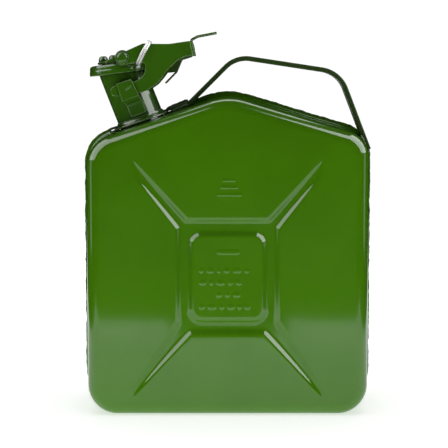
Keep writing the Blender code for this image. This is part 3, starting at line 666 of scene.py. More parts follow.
class Pressing:
    """The face's relief as a raster: how far the sheet is pushed in at each (x, z)."""

    def __init__(self, marks):
        self.origin = np.array((-HALF_WIDTH, 0.0))
        columns = int(2 * HALF_WIDTH / RASTER_STEP) + 2
        rows = int(APEX_HEIGHT / RASTER_STEP) + 2
        x = self.origin[0] + np.arange(columns) * RASTER_STEP
        z = self.origin[1] + np.arange(rows) * RASTER_STEP
        self.grid = grid = np.stack(np.meshgrid(x, z), axis=-1)
        outside_panel = box_distance(grid, PANEL_CENTRE, PANEL_HALF, PANEL_CORNER)
        self.edge = np.minimum(polygon_distance(grid, channel_polygon()), outside_panel)
        fade = arm_fade(grid)
        width = np.maximum(CHANNEL_WALL * fade, 0.7 * MM)
        across = np.clip(self.edge / width, 0, 1)
        relief = CHANNEL_DEPTH * fade * (0.6 * across + 0.4 * smooth_step(across))
        self.relief = blurred(relief, RELIEF_BLUR / RASTER_STEP) + self.oil_canning(grid)
        if marks:
            self.relief -= blurred(self.marks(grid), MARK_BLUR / RASTER_STEP)

    @staticmethod
    def oil_canning(grid):
        """The faint unevenness of a large pressed panel, which is sunk by the height of its raised marks."""
        x, z = grid[..., 0] / MM, grid[..., 1] / MM
        swell = np.sin(x * 0.031 + 0.6) * np.sin(z * 0.027 + 0.9) + 0.5 * np.sin(x * 0.058 - z * 0.041 + 2.0)
        inside = smooth_step(-box_distance(grid, SUNK_CENTRE, SUNK_HALF, SUNK_FADE) / SUNK_FADE)
        return (0.05 * MM * (1.8 + swell) + MARK_HEIGHT) * inside

    @staticmethod
    def marks(grid):
        raised = np.zeros(grid.shape[:2])
        for x, z, half_x, half_z in mark_boxes():
            reach = box_distance(grid, (x, z), (half_x, half_z), min(half_x, half_z) * 0.98)
            raised = np.maximum(raised, MARK_HEIGHT * (reach < 0))
        return raised

    def sample(self, field, points):
        """The field read between its cells."""
        at = (points - self.origin) / RASTER_STEP
        cell = np.clip(np.floor(at).astype(int), 0, np.array(field.shape[::-1]) - 2)
        part = at - cell
        i, j = cell[:, 0], cell[:, 1]
        low = field[j, i] * (1 - part[:, 0]) + field[j, i + 1] * part[:, 0]
        high = field[j + 1, i] * (1 - part[:, 0]) + field[j + 1, i + 1] * part[:, 0]
        return low * (1 - part[:, 1]) + high * part[:, 1]

    def normals(self, points):
        """The front face's unit normals, from the relief's slope."""
        slopes = []
        for shift in np.eye(2) * RASTER_STEP:
            ahead, back = self.sample(self.relief, points + shift), self.sample(self.relief, points - shift)
            slopes.append((ahead - back) / (2 * RASTER_STEP))
        made = np.column_stack((slopes[0], -np.ones(len(points)), slopes[1]))
        return made / np.linalg.norm(made, axis=1)[:, None]


def hex_points(step, low, high):
    """Points in staggered rows, which make even triangles."""
    rows = np.arange(low[1], high[1], step * 0.866)
    points = []
    for number, z in enumerate(rows):
        x = np.arange(low[0] + (step / 2 if number % 2 else 0), high[0], step)
        points.append(np.column_stack((x, np.full(len(x), z))))
    return np.concatenate(points)


def face_points(edge, pressing):
    """Points inside the face's edge: close together where the relief bends, far apart where it's flat."""
    low, high = edge.min(axis=0), edge.max(axis=0)
    fine_step, coarse_step, margin, rim = mm(0.6, 4.0, 2.4, 1.2)
    bends = blurred(pressing.marks(pressing.grid), 2) > 0.005 * MM
    near = (pressing.edge > -margin) & (pressing.edge < CHANNEL_WALL + margin)
    busy = (near | bends).astype(float)
    fine = hex_points(fine_step, low, high)
    coarse = hex_points(coarse_step, low, high)
    fine = fine[pressing.sample(busy, fine) > 0.5]
    coarse = coarse[pressing.sample(blurred(busy, 4), coarse) < 0.02]
    return np.concatenate([points[polygon_distance(points, edge) > rim] for points in (fine, coarse)])


SLIVER_AREA = 0.01 * MM * MM


def face_triangles(edge, inner):
    """The face triangulated: edge points first, in order, then the inner ones; slivers are dropped."""
    points = np.concatenate((edge, inner))
    count = len(edge)
    edges = [(i, (i + 1) % count) for i in range(count)]
    result = delaunay_2d_cdt([Vector(p) for p in points.tolist()], edges, [list(range(count))], 1, 1e-9, True)
    faces, origin = result[2:4]
    lookup = [ids[0] for ids in origin]
    triangles = np.array([[lookup[i] for i in face] for face in faces])
    a, b, c = (points[triangles[:, i]] for i in range(3))
    area = np.abs((b - a)[:, 0] * (c - a)[:, 1] - (b - a)[:, 1] * (c - a)[:, 0]) / 2
    return triangles[area > SLIVER_AREA].tolist()


def quads(start, rows, count, keep=None):
    """Faces of a grid of closed rings whose vertices start at an index; keep drops some."""
    row, column = np.meshgrid(np.arange(rows - 1), np.arange(count), indexing="ij")
    after = (column + 1) % count
    low, high = row * count, (row + 1) * count
    corners = np.stack((low + column, low + after, high + after, high + column), axis=-1).reshape(-1, 4)
    return corners[keep] + start if keep is not None else corners + start


def boundary_of_hole(faces, count):
    """Directed edges that a dropped face leaves open; the first ring's own edges don't count."""
    edges = {}
    for face in faces.tolist():
        for a, b in zip(face, face[1:] + face[:1]):
            edges[(a, b)] = True
    return [(a, b) for a, b in edges if (b, a) not in edges and count <= a and count <= b]


def make_shell(node, rear, triangles, wall, inner_face, pressing):
    """One half shell: the pressed outer skin, an inner skin behind it and the flange's edge between."""
    stations, count, _ = wall.shape
    face_xz = np.concatenate((wall[-1][:, [0, 2]], inner_face))
    relief = pressing.sample(pressing.relief, face_xz)
    relief[:count] = 0
    face = np.column_stack((face_xz[:, 0], -HALF_DEPTH + relief, face_xz[:, 1]))
    outer = np.concatenate((wall[:-1].reshape(-1, 3), face))

    paired = wall + np.roll(wall, -1, axis=1)
    centres = (paired[:-1] + paired[1:]).reshape(-1, 3) / 4
    hole = (neck_reach(centres) < NECK_HOLE_RADIUS) & (centres[:, 2] > SHOULDER_LOWEST)
    hole &= np.repeat(np.arange(stations - 1) >= FLANGE_STATIONS, count)
    wall_faces = quads(0, stations, count, ~hole)
    inner_wall = inner_skin(wall)
    shift = len(outer)
    start = (stations - 1) * count
    inner_faces = wall_faces[:, ::-1] + shift
    rim = [[a, b, b + shift, a + shift] for b, a in boundary_of_hole(wall_faces, count) if max(a, b) < start]
    first = np.arange(count)
    after = (first + 1) % count
    lip = np.column_stack((after, first, first + shift, after + shift))
    verts = np.concatenate((outer, inner_wall.reshape(-1, 3)))
    faces = wall_faces.tolist() + inner_faces.tolist() + lip.tolist() + rim
    faces += [[i + start for i in tri] for tri in triangles] + [[i + shift + start for i in range(count)]]
    if rear:
        verts = verts * np.array((1, -1, 1))
    mesh = bpy.data.meshes.new(node + "_skin")
    mesh.from_pydata(verts.tolist(), [], faces)
    mesh.validate()
    skin = bmesh.new()
    skin.from_mesh(mesh)
    bmesh.ops.recalc_face_normals(skin, faces=skin.faces)
    skin.to_mesh(mesh)
    skin.free()
    obj = link(node + "_skin", mesh, TANK, "can", 50)
    normals = np.empty(len(mesh.vertices) * 3, np.float32)
    mesh.vertices.foreach_get("normal", normals)
    normals = normals.reshape(-1, 3).astype(float)
    if len(mesh.vertices) == len(verts):
        made = pressing.normals(face_xz) * np.array((1, -1 if rear else 1, 1))
        normals[start:start + len(face_xz)] = made
        mesh.normals_split_custom_set_from_vertices([tuple(n) for n in normals.tolist()])
    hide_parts(node)


def inner_skin(wall):
    """The wall's rings moved one sheet inwards."""
    along = np.roll(wall, -1, axis=1) - np.roll(wall, 1, axis=1)
    across = np.gradient(wall, axis=0)
    normal = np.cross(along, across)
    normal /= np.maximum(np.linalg.norm(normal, axis=2), 1e-12)[..., None]
    inner = wall - normal * SHEET * np.sign(-normal[-1, 0, 1])
    inner[:FLANGE_STATIONS] = wall[:FLANGE_STATIONS]
    inner[:FLANGE_STATIONS, :, 1] = -SEAM_HALF_GAP
    inner[-1] = wall[-1]
    inner[-1, :, 1] = -(HALF_DEPTH - CHANNEL_DEPTH - 1.4 * SHEET)
    return inner


def make_shells():
    wall = wall_rings()
    front, rear = Pressing(True), Pressing(False)
    edge = wall[-1][:, [0, 2]]
    inner = face_points(edge, front)
    triangles = face_triangles(edge, inner)
    make_shell("front_shell", False, triangles, wall, inner, front)
    make_shell("rear_shell", True, triangles, wall, inner, rear)


# ---------------------------------------------------------------- fittings

def joined(name, parts, body, nodes, material=FITTING, edge=0, angle=35):
    """One piece from several bmeshes, which stands for the CAD nodes; edge is its edges' rounding."""
    whole = bmesh.new()
    for part in parts:
        bmesh.ops.recalc_face_normals(part, faces=part.faces)
        mesh = bpy.data.meshes.new("part")
        part.to_mesh(mesh)
        part.free()
        whole.from_mesh(mesh)
        bpy.data.meshes.remove(mesh)
    mesh = bpy.data.meshes.new(name)
    whole.to_mesh(mesh)
    whole.free()
    obj = link(name, mesh, material, body, angle)
    if nodes:
        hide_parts(*nodes)
    return bevelled(obj, edge) if edge else obj


def across(centre):
    """The frame on a joint axis through an X-Z point: its Z axis runs to the rear."""
    return frame_at(Vector((centre.x, 0, centre.y)), (0, 1, 0))


def dome(radius, low, rise, steps, fullness=1.0):
    """A rivet head's profile, rim to just short of its top; a lower fullness squares its shoulders."""
    angles = [pi / 2 * step / steps for step in range(steps)]
    return [(radius * cos(a) ** fullness, low + rise * sin(a)) for a in angles]


def lumpy_tube(path, radius, seed, rough, sides, closed=False):
    """A tube along the path, in points (x, y, z); with any roughness it swells and shrinks as a weld does."""
    rings = []
    count = len(path)
    normal = Vector((0.31, 0.83, 0.46))
    for i, point in enumerate(path):
        before = path[i - 1] if closed or i else path[0]
        after = path[(i + 1) % count] if closed or i < count - 1 else path[-1]
        along = (after - before).normalized()
        normal = (normal - along * normal.dot(along)).normalized()
        side = along.cross(normal)
        swell = wave(float(i), [(0.5, seed), (0.93, seed * 2.3), (1.7, seed * 0.7)], rough)
        ends = min(i, count - 1 - i)
        taper = 1 if closed or not rough else min(1.0, 0.5 + 0.17 * ends)
        reach = radius * taper * (1 + swell)
        rings.append([point + (normal * cos(a) + side * sin(a)) * reach for a in full_turn(sides)])
    return swept_rings(rings, closed)


def spread(points, count):
    """Evenly spaced points along a line through the points."""
    lengths = [0.0]
    for a, b in zip(points, points[1:]):
        lengths.append(lengths[-1] + (b - a).length)
    made = []
    for i in range(count):
        at = lengths[-1] * i / (count - 1)
        k = max(j for j in range(len(points) - 1) if lengths[j] <= at + 1e-9)
        made.append(points[k].lerp(points[k + 1], (at - lengths[k]) / (lengths[k + 1] - lengths[k])))
    return made


HANDLE_PATH = mm_points((-47.4, 247.84), (-31.7, 253.2), (7.0, 291.8), (92.8, 278.8), (117.6, 214.7))
HANDLE_BENDS = mm(0, 9, 24, 25, 0)
HANDLE_THICKNESS = 3.9 * MM
HANDLE_HALF_WIDTH = 9.9 * MM
HANDLE_EDGE = 0.9 * MM
LEFT_FOOT = mm_points((-51.5, 247.2), (-46.0, 250.2), (-39.0, 252.9), (-33.0, 255.6))
RIGHT_FOOT = mm_points((112.2, 226.5), (115.4, 219.8), (117.3, 213.2))
RIGHT_END = Vector((116.9, 0, 213.9)) * MM
FOOT_BEAD = 1.5 * MM


def make_handle():
    bar = thicken(rounded_path(HANDLE_PATH, HANDLE_BENDS, 18), HANDLE_THICKNESS)
    parts = [prism(bar, -HANDLE_HALF_WIDTH, HANDLE_HALF_WIDTH)]
    # painted shade: the bar takes the darkened copy of the enamel
    joined("handle_bar", parts, "can", ["carry_handle"], ENAMEL_IN_PAINTED_SHADE, HANDLE_EDGE)


def foot_welds():
    """Weld beads along both feet of the handle, with a ramp of weld at its left one."""
    beads = []
    for points, count, reach, shift_x, shift_z, radius, seed, rough in (
        (LEFT_FOOT, 26, 1.6, 0, 0, 1.7 * MM, 1.0, 0.07),
        (LEFT_FOOT[1:], 22, 10.2, 0, -3.4 * MM, FOOT_BEAD, 2.0, 0.1),
        (RIGHT_FOOT, 22, 10.2, -1.8 * MM, 0, FOOT_BEAD, 3.0, 0.12),
    ):
        for y in (-reach, reach):
            path = [Vector((p.x + shift_x, y * MM, p.y + shift_z)) for p in spread(points, count)]
            beads.append(lumpy_tube(path, radius, seed + y, rough, 12))
    end = [RIGHT_END + Vector((0, y * MM, 0)) for y in evenly(-9.5, 9.5, 24)]
    beads.append(lumpy_tube(end, FOOT_BEAD, 4.4, 0.12, 12))
    # painted shade: the foot welds take the darkened copy of the enamel
    joined("handle_welds", beads, "can", [], ENAMEL_IN_PAINTED_SHADE)


def seam_weld():
    """The dark, uneven bead where the two flanges are welded edge to edge; it stops short of the neck."""
    inset, stop = 1.3 * MM, 27.5 * MM
    points = [Vector((x, 0, z)) for x, z in tank_ring(inset, FLANGE_FOOT + inset).tolist()]
    count = len(points)
    far = neck_reach(np.array([tuple(p) for p in points])) > stop
    start = next(i for i in range(count) if far[i] and not far[i - 1])
    order = [(start + i) % count for i in range(count)]
    path = spread([points[i] for i in order if far[i]], 520)
    joined("seam_weld", [lumpy_tube(path, 0.75 * MM, 0.6, 0.35, 6)], "can", [], WELD)


def neck_ring(share, swell, bore, steps=96):
    """A ring of the neck's wall, at 0 at its foot and at 1 at its mouth; swell widens it."""
    held = min(max(share, 0), 1)
    tilt = LEFT_SLOPE + (LID_TILT - LEFT_SLOPE) * held
    place = Matrix.Translation(NECK_BASE.lerp(MOUTH_CENTRE, share)) @ Matrix.Rotation(-tilt, 4, "Y")
    radius = NECK_RADIUS + (MOUTH_RADIUS - NECK_RADIUS) * held
    r = (radius - NECK_WALL if bore else radius) + swell
    return [place @ Vector((r * cos(a), r * sin(a), 0)) for a in full_turn(steps)]


def make_neck():
    """The filler neck: its wall goes up outside, over the rolled bead at the mouth and down inside."""
    length = (MOUTH_CENTRE - NECK_BASE).length
    bead, sunk = 1.0 * MM, -0.19
    rings = [neck_ring(s, 0, False) for s in (sunk, -0.05, 0.0, 0.1, 0.2, 0.35, 0.5, 0.65, 0.8, 0.93)]
    for step in range(11):
        a = pi * step / 10
        rings.append(neck_ring(1 - bead * (1 + cos(a)) / length, bead * sin(a), False))
    rings += [neck_ring(s, 0, True) for s in (0.995, 0.9, 0.7, 0.5, 0.3, 0.1, 0.0, sunk)]
    joined("neck", [swept_rings(rings, True)], "can", ["neck_tube"], angle=50)


def make_collar():
    """The flare where the neck meets the shoulder, with the lumpy weld round its foot."""
    gap, rim, flare = 0.3 * MM, 0.7 * MM, 4.5 * MM
    low, inner = gap - FLANGE, NECK_RADIUS + gap
    outer = inner + flare
    profile = [(inner, low), (outer, low), (outer, low + rim)]
    for step in range(1, 11):
        a = pi / 2 * step / 10
        profile.append((outer - (flare - 0.5 * MM) * sin(a), low + rim + (flare - rim) * (1 - cos(a))))
    profile.append((inner, low + flare))
    place = frame_at(NECK_BASE, NECK_AXIS)
    joined("collar", [turned(profile, place, 96)], "can", ["neck_collar"], angle=50)
    reach, height = outer - 0.9 * MM, low + 0.5 * MM
    path = [place @ Vector((reach * cos(a), reach * sin(a), height)) for a in full_turn(150)]
    joined("collar_weld", [lumpy_tube(path, 0.8 * MM, 1.9, 0.08, 10, True)], "can", [])


# How far up the neck, then the left edge, the right edge and the inner face's depth, in mm
BRACKET_ROWS = (
    (2.8, -5.4, 7.0, 19.5), (12.0, -6.2, 7.2, 19.5), (13.2, -6.4, 7.2, 20.2), (15.8, -7.8, 6.5, 26.3),
    (17.2, -8.0, 6.4, 27.3), (29.0, -8.2, 5.2, 27.3), (31.9, -8.2, 4.6, 27.05),
)
BRACKET_SHEET = 1.6


def bracket_point(b, a, depth):
    """The point b mm to the right of the neck's axis, a mm up it and depth mm behind it."""
    right = Vector((cos(LEFT_SLOPE), 0, sin(LEFT_SLOPE)))
    return NECK_BASE + right * b * MM + Vector(NECK_AXIS) * a * MM + Vector((0, depth * MM, 0))


def make_bracket(node, side):
    """A joggled strap on the neck's side, with a short rib across its upper plate and a weld at its foot."""
    rows = []
    for a, left, right, depth in BRACKET_ROWS:
        inside = [bracket_point(b, a, side * depth) for b in (left, right)]
        outside = [bracket_point(b, a, side * (depth + BRACKET_SHEET)) for b in (right, left)]
        rows.append(inside + outside)
    rib = [bracket_point(b, 25.4 + b * 0.35, side * 28.35) for b in evenly(-3.4, 3.6, 14)]
    parts = [swept_rings(rows, False), lumpy_tube(rib, 0.62 * MM, 0.4, 0.02, 10)]
    joined(node + "_strap", parts, "can", [node], edge=0.35 * MM)
    runs = [[bracket_point(b, 2.6, side * 20.2) for b in evenly(-5.6, 7.2, 22)]]
    for b in (-5.7, 7.4):
        runs.append([bracket_point(b, a, side * 19.3) for a in evenly(3.5, 11.5, 16)])
    beads = [lumpy_tube(path, 0.8 * MM, 1.1 + i, 0.1, 10) for i, path in enumerate(runs)]
    joined(node + "_weld", beads, "can", [])


def lid_outline():
    """The lid's section from its rim over the crown and back under it."""
    r, t, top = LID_RADIUS, 1.0 * MM, LID_HEIGHT
    outside = [(r, 0), (r, 3.2 * MM), (r - 0.45 * MM, 4.2 * MM), (r - 0.6 * MM, 6.4 * MM)]
    outside += [(r - 1.4 * MM, 7.8 * MM), (r - 3 * MM, top - 0.4 * MM), (0, top)]
    inside = [(0, top - t), (r - 3.2 * MM, top - 0.4 * MM - t), (r - 2.3 * MM, 6.2 * MM)]
    inside += [(r - 2.3 * MM, 4.4 * MM), (r - t, 3.4 * MM), (r - t, 0)]
    return soft_profile(outside + inside, 0.5 * MM)


def make_lid():
    """The lid with its grooved rubber seal, held up by a dished disc."""
    joined("lid_shell", [turned(lid_outline(), lid_frame(), 96)], "lid", ["lid_cap"], angle=40)
    groove = mm_points((17.2, 2.75), (17.6, 3.25), (19.4, 3.25), (19.8, 2.75))
    rim = mm_points((21.2, 2.75), (21.8, 3.55), (21.8, 5.8), (21.0, 6.9), (15.7, 6.9))
    seal = soft_profile(mm_points((15.7, 2.75)) + groove + rim, 0.35 * MM)
    joined("lid_seal", [turned(seal, lid_frame(), 96)], "lid", ["lid_gasket"], RUBBER)
    disc = mm_points((0, 5.05), (13.2, 5.05), (13.8, 5.3), (15.1, 5.3), (14.7, 5.95), (0, 5.95))
    disc = turned(soft_profile(disc, 0.15 * MM), lid_frame(), 72)
    joined("seal_plate", [disc], "lid", ["gasket_retainer"], DULL_ZINC)


def make_saddle():
    """The riveted channel on the lid: its flat web, and the two ears that carry the pivot."""
    low, high = 9.0 * MM, 10.8 * MM
    outline = mm_points((-16, -9), (-8, -19.4), (3, -19.4), (3, 19.4), (-8, 19.4), (-16, 9))
    outline = rounded_path(outline, [3 * MM] * 6, 6, closed=True)
    web = extruded([(p.x, p.y, low) for p in outline], (0, 0, high - low))
    web.transform(lid_frame())
    bend = arc_about(Vector((6.0, 12.06)) * MM, 4.85 * MM, 150, -32, 20)
    ear = mm_points((-7.9, 9.1), (-7.9, 11.4)) + bend + mm_points((3.0, 9.1))
    ears = both_sides([from_lid(p.x, p.y) for p in ear], 17.9 * MM, 19.55 * MM)
    joined("saddle", [web, *ears], "lid", ["lid_saddle"], edge=0.3 * MM)


def make_saddle_rivets():
    head, seat = 4.0 * MM, 11.1 * MM
    for number, u in enumerate(mm(-11.6, -3.2)):
        profile = mm_points((0, 3.2), (3.2, 3.2), (3.4, 4.7), (2, 4.7)) + [(2 * MM, seat), (head, seat)]
        profile += dome(head, seat + 0.6 * MM, 4.1 * MM, 16, 0.6) + [(0, seat + 4.7 * MM)]
        place = lid_frame() @ Matrix.Translation((u, 0, 0))
        name = f"saddle_rivet_{number + 1}"
        joined(name + "_dome", [turned(profile, place, 48)], "lid", [name])


def make_hinge():
    """The lug on the neck, the strap that leads from the lid to it, and the pin through both."""
    centre = flat(HINGE)
    ear = arc_about(centre, 3.6 * MM, 200, 0, 20) + mm_points((-59.4, 268.0), (-62.2, 268.0))
    plate = mm_points((-62.7, 268.2), (-59.5, 268.2), (-60.6, 273.6), (-64.9, 273.6))
    parts = both_sides(ear, 6.4 * MM, 9.4 * MM) + [prism(plate, -9.2 * MM, 9.2 * MM)]
    joined("hinge_ears", parts, "can", ["hinge_lug"], edge=0.3 * MM)
    path = [from_lid(12.5 * MM, 9.7 * MM), from_lid(25.6 * MM, 9.7 * MM), centre + Vector((-1.0, 2.6)) * MM]
    strap = prism(thicken(rounded_path(path, mm(0, 2.5, 0), 10), 1.3 * MM), -5.8 * MM, 5.8 * MM)
    knuckle = turned(mm_points((2.05, -5.9), (3.4, -5.9), (3.4, 5.9), (2.05, 5.9)), across(centre), 40)
    joined("hinge_strap", [strap, knuckle], "lid", ["hinge_leaf"], edge=0.25 * MM)
    pin = mm_points((0, -10.6), (2, -10.6), (2, 9.8), (3, 9.8), (3, 11), (0, 11))
    pin = turned(soft_profile(pin, 0.4 * MM), across(centre), 40)
    joined("hinge_pin", [pin], "can", ["lid_hinge_pin"], ZINC)


def make_pivot():
    """The lever's pin, domed at both ends, with a washer inside each head."""
    place = across(flat(PIVOT))
    reach, head, rim, rise = mm(28.1, 4.4, 0.5, 1.9)
    half = [(2 * MM, reach), (head, reach), *dome(head, reach + rim, rise, 12), (0, reach + rim + rise)]
    profile = [(r, -y) for r, y in half[::-1]] + half
    joined("pivot_pin", [turned(profile, place, 48)], "lid", ["lever_pivot_pin"])
    for node, side in (("pivot_washer_front", -1), ("pivot_washer_rear", 1)):
        y0, y1 = sorted((side * 26.8, side * 27.8))
        ring = soft_profile(mm_points((2.1, y0), (5.3, y0), (5.3, y1), (2.1, y1)), 0.3 * MM)
        joined(node + "_ring", [turned(ring, place, 48)], "lid", [node])


def cheek_outline():
    """The lever's cheek: the nose round the pivot, the top, the tail, the belly, the claw and its notch."""
    nose = arc_about(flat(PIVOT), 6.2 * MM, 285, 62, 28)
    top = mm_points((-69.3, 302.2), (-60, 301.9), (-48.0, 301.8), (-32.1, 304.1), (-29.6, 304.2))
    tail = mm_points((-27.2, 292.9), (-35.2, 291.5), (-41.6, 287.8), (-49.3, 280.3), (-53.4, 274.6))
    belly = mm_points((-58.5, 268.7), (-65.3, 264.2), (-71.4, 261.9), (-84, 259.2))
    claw = arc_about(Vector((-91.3, 263.5)) * MM, 4.4 * MM, 275, 45, 24)
    notch = mm_points((-84.5, 267.2), (-78.0, 270.4), (-72.7, 272.9), (-69.3, 275.6))
    notch += mm_points((-67.8, 278.5), (-66.8, 285.6), (-72.3, 287.4))
    upper = rounded_path([nose[-1], *top], mm(0, 5, 20, 20, 6, 0), 5)[1:]
    radii = mm(0, 0.8, 4, 10, 12, 12, 12, 10, 10, 8, 0)
    lower = rounded_path([top[-1], *tail, *belly, claw[0]], radii, 5)[1:-1]
    inner = rounded_path([claw[-1], *notch, nose[0]], mm(0, 3, 8, 6, 4, 4, 3, 1.5, 0), 5)[1:-1]
    return nose + upper + lower + claw + inner


def make_lever():
    """The cam lever: two cheeks, the plate that joins their tails, and the thumb tab bent out of it."""
    parts = both_sides(cheek_outline(), 24.7 * MM, 26.5 * MM)
    plate = thicken(mm_points((-30.1, 304.6), (-27.4, 292.6)), 1.8 * MM)
    parts.append(prism(plate, -26.75 * MM, 26.75 * MM))
    tab = mm_points((-29.6, 302.6), (-30.2, 305.6), (-25.0, 308.4), (-8.95, 311.45))
    tab = thicken(rounded_path(tab, mm(0, 1.5, 5, 0), 10), 1.6 * MM)
    parts.append(prism(tab, -12 * MM, 12 * MM))
    joined("lever", parts, "lever", ["cam_lever"], edge=0.4 * MM)


def make_catch():
    """The sheet hook under the lever's tail with its two side wings, and its rivets through the end plate."""
    path = mm_points((-31.5, 303.2), (-29.0, 292.3), (-38.2, 289.4), (-42.7, 278.9), (-51.6, 269.8))
    path = rounded_path(path, mm(0, 2, 3, 1.5, 0), 10)
    wing = mm_points((-38.0, 289.4), (-42.6, 279.1), (-50.0, 278.4))
    wing += mm_points((-51.0, 281.0), (-44.0, 288.6), (-37.6, 291.8))
    parts = [prism(thicken(path, 1.2 * MM), -10.9 * MM, 10.9 * MM), *both_sides(wing, 9.8 * MM, 10.8 * MM)]
    # painted shade: the catch takes the darkened copy of the enamel, for the shade under the lever's tail
    joined("catch", parts, "lever", ["hold_open_catch"], ENAMEL_IN_PAINTED_SHADE, edge=0.25 * MM)
    lean = atan2(12.0, 2.7)
    head = mm_points((0, -1.45), (2.2, -1.4), (3.0, -1.2), (3.0, -0.95), (1.7, -0.95))
    tail = mm_points((1.7, 3.1), (2.8, 3.1), (2.6, 3.9), (0, 4.2))
    for number, y in enumerate(mm(-6, 6)):
        place = frame_at(Vector((-29.0 * MM, y, 299.6 * MM)), (-sin(lean), 0, -cos(lean)))
        rivet = turned(soft_profile(head + tail, 0.25 * MM), place, 40)
        name = f"catch_rivet_{number + 1}"
        joined(name + "_head", [rivet], "lever", [name])


def make_ring():
    """The split ring: two turns of spring wire lying against each other."""
    place = frame_at(RING_CENTRE, RING_AXIS)
    turns, steps, start, radius, wire, half_pitch = 2, 96, 0.8, 10.3 * MM, 0.94 * MM, 0.98 * MM
    path = []
    for i in range(turns * steps + 1):
        share = i / (turns * steps)
        a = 2 * pi * turns * share + start
        side = float(smooth_step((share - 0.44) / 0.12) * 2 - 1)
        path.append(place @ Vector((radius * cos(a), radius * sin(a), side * half_pitch)))
    coil = lumpy_tube(path, wire, 0.5, 0.0, 12)
    joined("ring", [coil], "ring", ["split_ring"], ZINC, angle=60)


def make_fittings():
    make_handle()
    foot_welds()
    seam_weld()
    make_neck()
    make_collar()
    make_bracket("bracket_front", -1)
    make_bracket("bracket_rear", 1)
    make_lid()
    make_saddle()
    make_saddle_rivets()
    make_hinge()
    make_pivot()
    make_lever()
    make_catch()
    make_ring()


# ---------------------------------------------------------------- carried-over node, camera, floor and light

def dress_nodes():
    """The vent pipe keeps its CAD shape and takes a bare steel finish."""
    obj = frame["nodes"]["vent_tube"]
    obj.data.materials.clear()
    obj.data.materials.append(DULL_ZINC)


CAMERA_AIM = Vector((-2.94, 0, 151.8)) * MM
CAMERA_RISE = radians(5.3)
CAMERA_DISTANCE = 1.3
LENS_MM = 124.15


def make_camera():
    data = bpy.data.cameras.new("camera")
    data.lens = LENS_MM
    data.sensor_width = 36
    data.clip_start = 0.05
    camera = add_object("camera", data)
    back = Vector((0, -cos(CAMERA_RISE), sin(CAMERA_RISE)))
    camera.location = CAMERA_AIM + back * CAMERA_DISTANCE
    camera.rotation_euler = (pi / 2 - CAMERA_RISE, 0, 0)
    bpy.context.scene.camera = camera


FLOOR_FRONT = -0.56
FLOOR_NOTCH = -0.46
FLOOR_NOTCH_LEFT, FLOOR_NOTCH_RIGHT = -0.062, 0.066
FLOOR_HALF_WIDTH = 0.55
FLOOR_BACK = 1.7


def make_floor():
    """A pale table top; the front face mirrors it as a pale lower band, which ends at its front edge."""
    floor = Nodes("pale floor")
    tone = floor.noise(3, 3, 0.5)
    floor.set(Base_Color=floor.blend(tone, (0.93, 0.93, 0.93), (0.96, 0.96, 0.96)))
    reach = floor.add("ShaderNodeVectorMath", operation="LENGTH")
    floor.join(floor.place, reach.inputs[0])
    glow = floor.ramp(reach.outputs["Value"], 0.12, 0.6, 0.58, 0.95)
    floor.set(Roughness=0.6, Specular_IOR_Level=0.2, Emission_Color=(1.0, 1.0, 1.0), Emission_Strength=glow)
    outline = [
        (-FLOOR_HALF_WIDTH, FLOOR_FRONT), (FLOOR_NOTCH_LEFT, FLOOR_FRONT), (FLOOR_NOTCH_LEFT, FLOOR_NOTCH),
        (FLOOR_NOTCH_RIGHT, FLOOR_NOTCH), (FLOOR_NOTCH_RIGHT, FLOOR_FRONT), (FLOOR_HALF_WIDTH, FLOOR_FRONT),
        (FLOOR_HALF_WIDTH, FLOOR_BACK), (-FLOOR_HALF_WIDTH, FLOOR_BACK),
    ]
    bm = bmesh.new()
    bm.faces.new([bm.verts.new((x, y, 0)) for x, y in outline])
    mesh = bpy.data.meshes.new("floor")
    bm.to_mesh(mesh)
    bm.free()
    obj = link("floor", mesh, floor.material, None)


def area_light(name, place, aim, size, power, diffuse=True, glossy=True):
    """A soft lamp that may be hidden from dull or from glossy surfaces, and is never seen itself."""
    data = bpy.data.lights.new(name, "AREA")
    data.shape = "RECTANGLE"
    data.size, data.size_y = size
    data.energy = power
    light = add_object(name, data)
    light.location = place
    light.rotation_euler = (Vector(aim) - Vector(place)).to_track_quat("-Z", "Y").to_euler()
    light.visible_diffuse = diffuse
    light.visible_glossy = glossy
    light.visible_camera = False


WORLD_DIFFUSE = 0.17
WORLD_GLOSSY = 0.015
WORLD_SEEN = 1.05


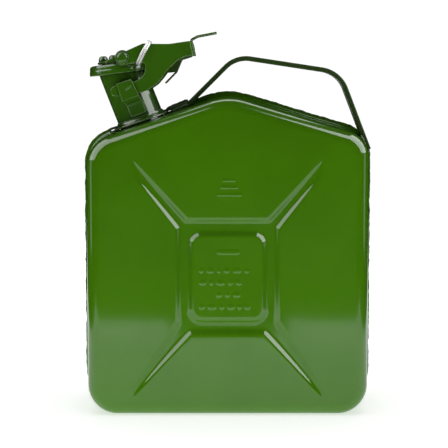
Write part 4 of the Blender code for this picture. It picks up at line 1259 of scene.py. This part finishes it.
def world_mix(tree, factor, first, second):
    node = tree.nodes.new("ShaderNodeMix")
    tree.links.new(factor, node.inputs["Factor"])
    for value, socket in ((first, node.inputs["A"]), (second, node.inputs["B"])):
        if isinstance(value, float):
            socket.default_value = value
        else:
            tree.links.new(value, socket)
    return node.outputs["Result"]


def make_world():
    """White to the eye, dim and even to dull surfaces, and dark to glossy ones save for the lamps."""
    world = bpy.data.worlds.new("studio")
    world.use_nodes = True
    tree = world.node_tree
    paths = tree.nodes.new("ShaderNodeLightPath")
    dull = world_mix(tree, paths.outputs["Is Glossy Ray"], WORLD_DIFFUSE, WORLD_GLOSSY)
    seen = world_mix(tree, paths.outputs["Is Camera Ray"], dull, WORLD_SEEN)
    tree.nodes["Background"].inputs["Color"].default_value = (1, 1, 1, 1)
    tree.links.new(seen, tree.nodes["Background"].inputs["Strength"])
    bpy.context.scene.world = world


def make_light():
    """The fills light only dull surfaces, and the softboxes show only in glossy ones."""
    make_world()
    for name, place, aim, size, power in (
        ("front fill", (0.0, -0.7, 0.07), (0, 0, 0.09), (0.5, 0.12), 1.05),
        ("rear fill", (0.0, 1.2, 0.5), (0, 0, 0.12), (0.8, 0.6), 3),
        ("floor wash", (0.0, -0.2, 1.9), (0, -0.2, 0), (2.4, 2.0), 15),
    ):
        area_light(name, place, aim, size, power, glossy=False)
    for name, place, aim, size, power in (
        ("upper left softbox", (-1.04, -0.25, 1.0), (0, 0, 0.13), (1.4, 1.4), 24),
        ("upper right softbox", (1.04, -0.25, 1.0), (0, 0, 0.13), (1.4, 1.4), 36),
        ("left softbox", (-1.3, -0.2, 0.3), (0, 0, 0.15), (0.4, 0.6), 0.95),
        ("right softbox", (1.3, -0.2, 0.3), (0, 0, 0.15), (0.4, 0.6), 0.85),
        ("top softbox", (0.0, 0.5, 1.4), (0, 0, 0.2), (1.0, 0.5), 5),
    ):
        area_light(name, place, aim, size, power, diffuse=False)


make_shells()
make_fittings()
dress_nodes()
make_camera()
make_floor()
make_light()
bpy.context.scene.view_settings.view_transform = "Standard"
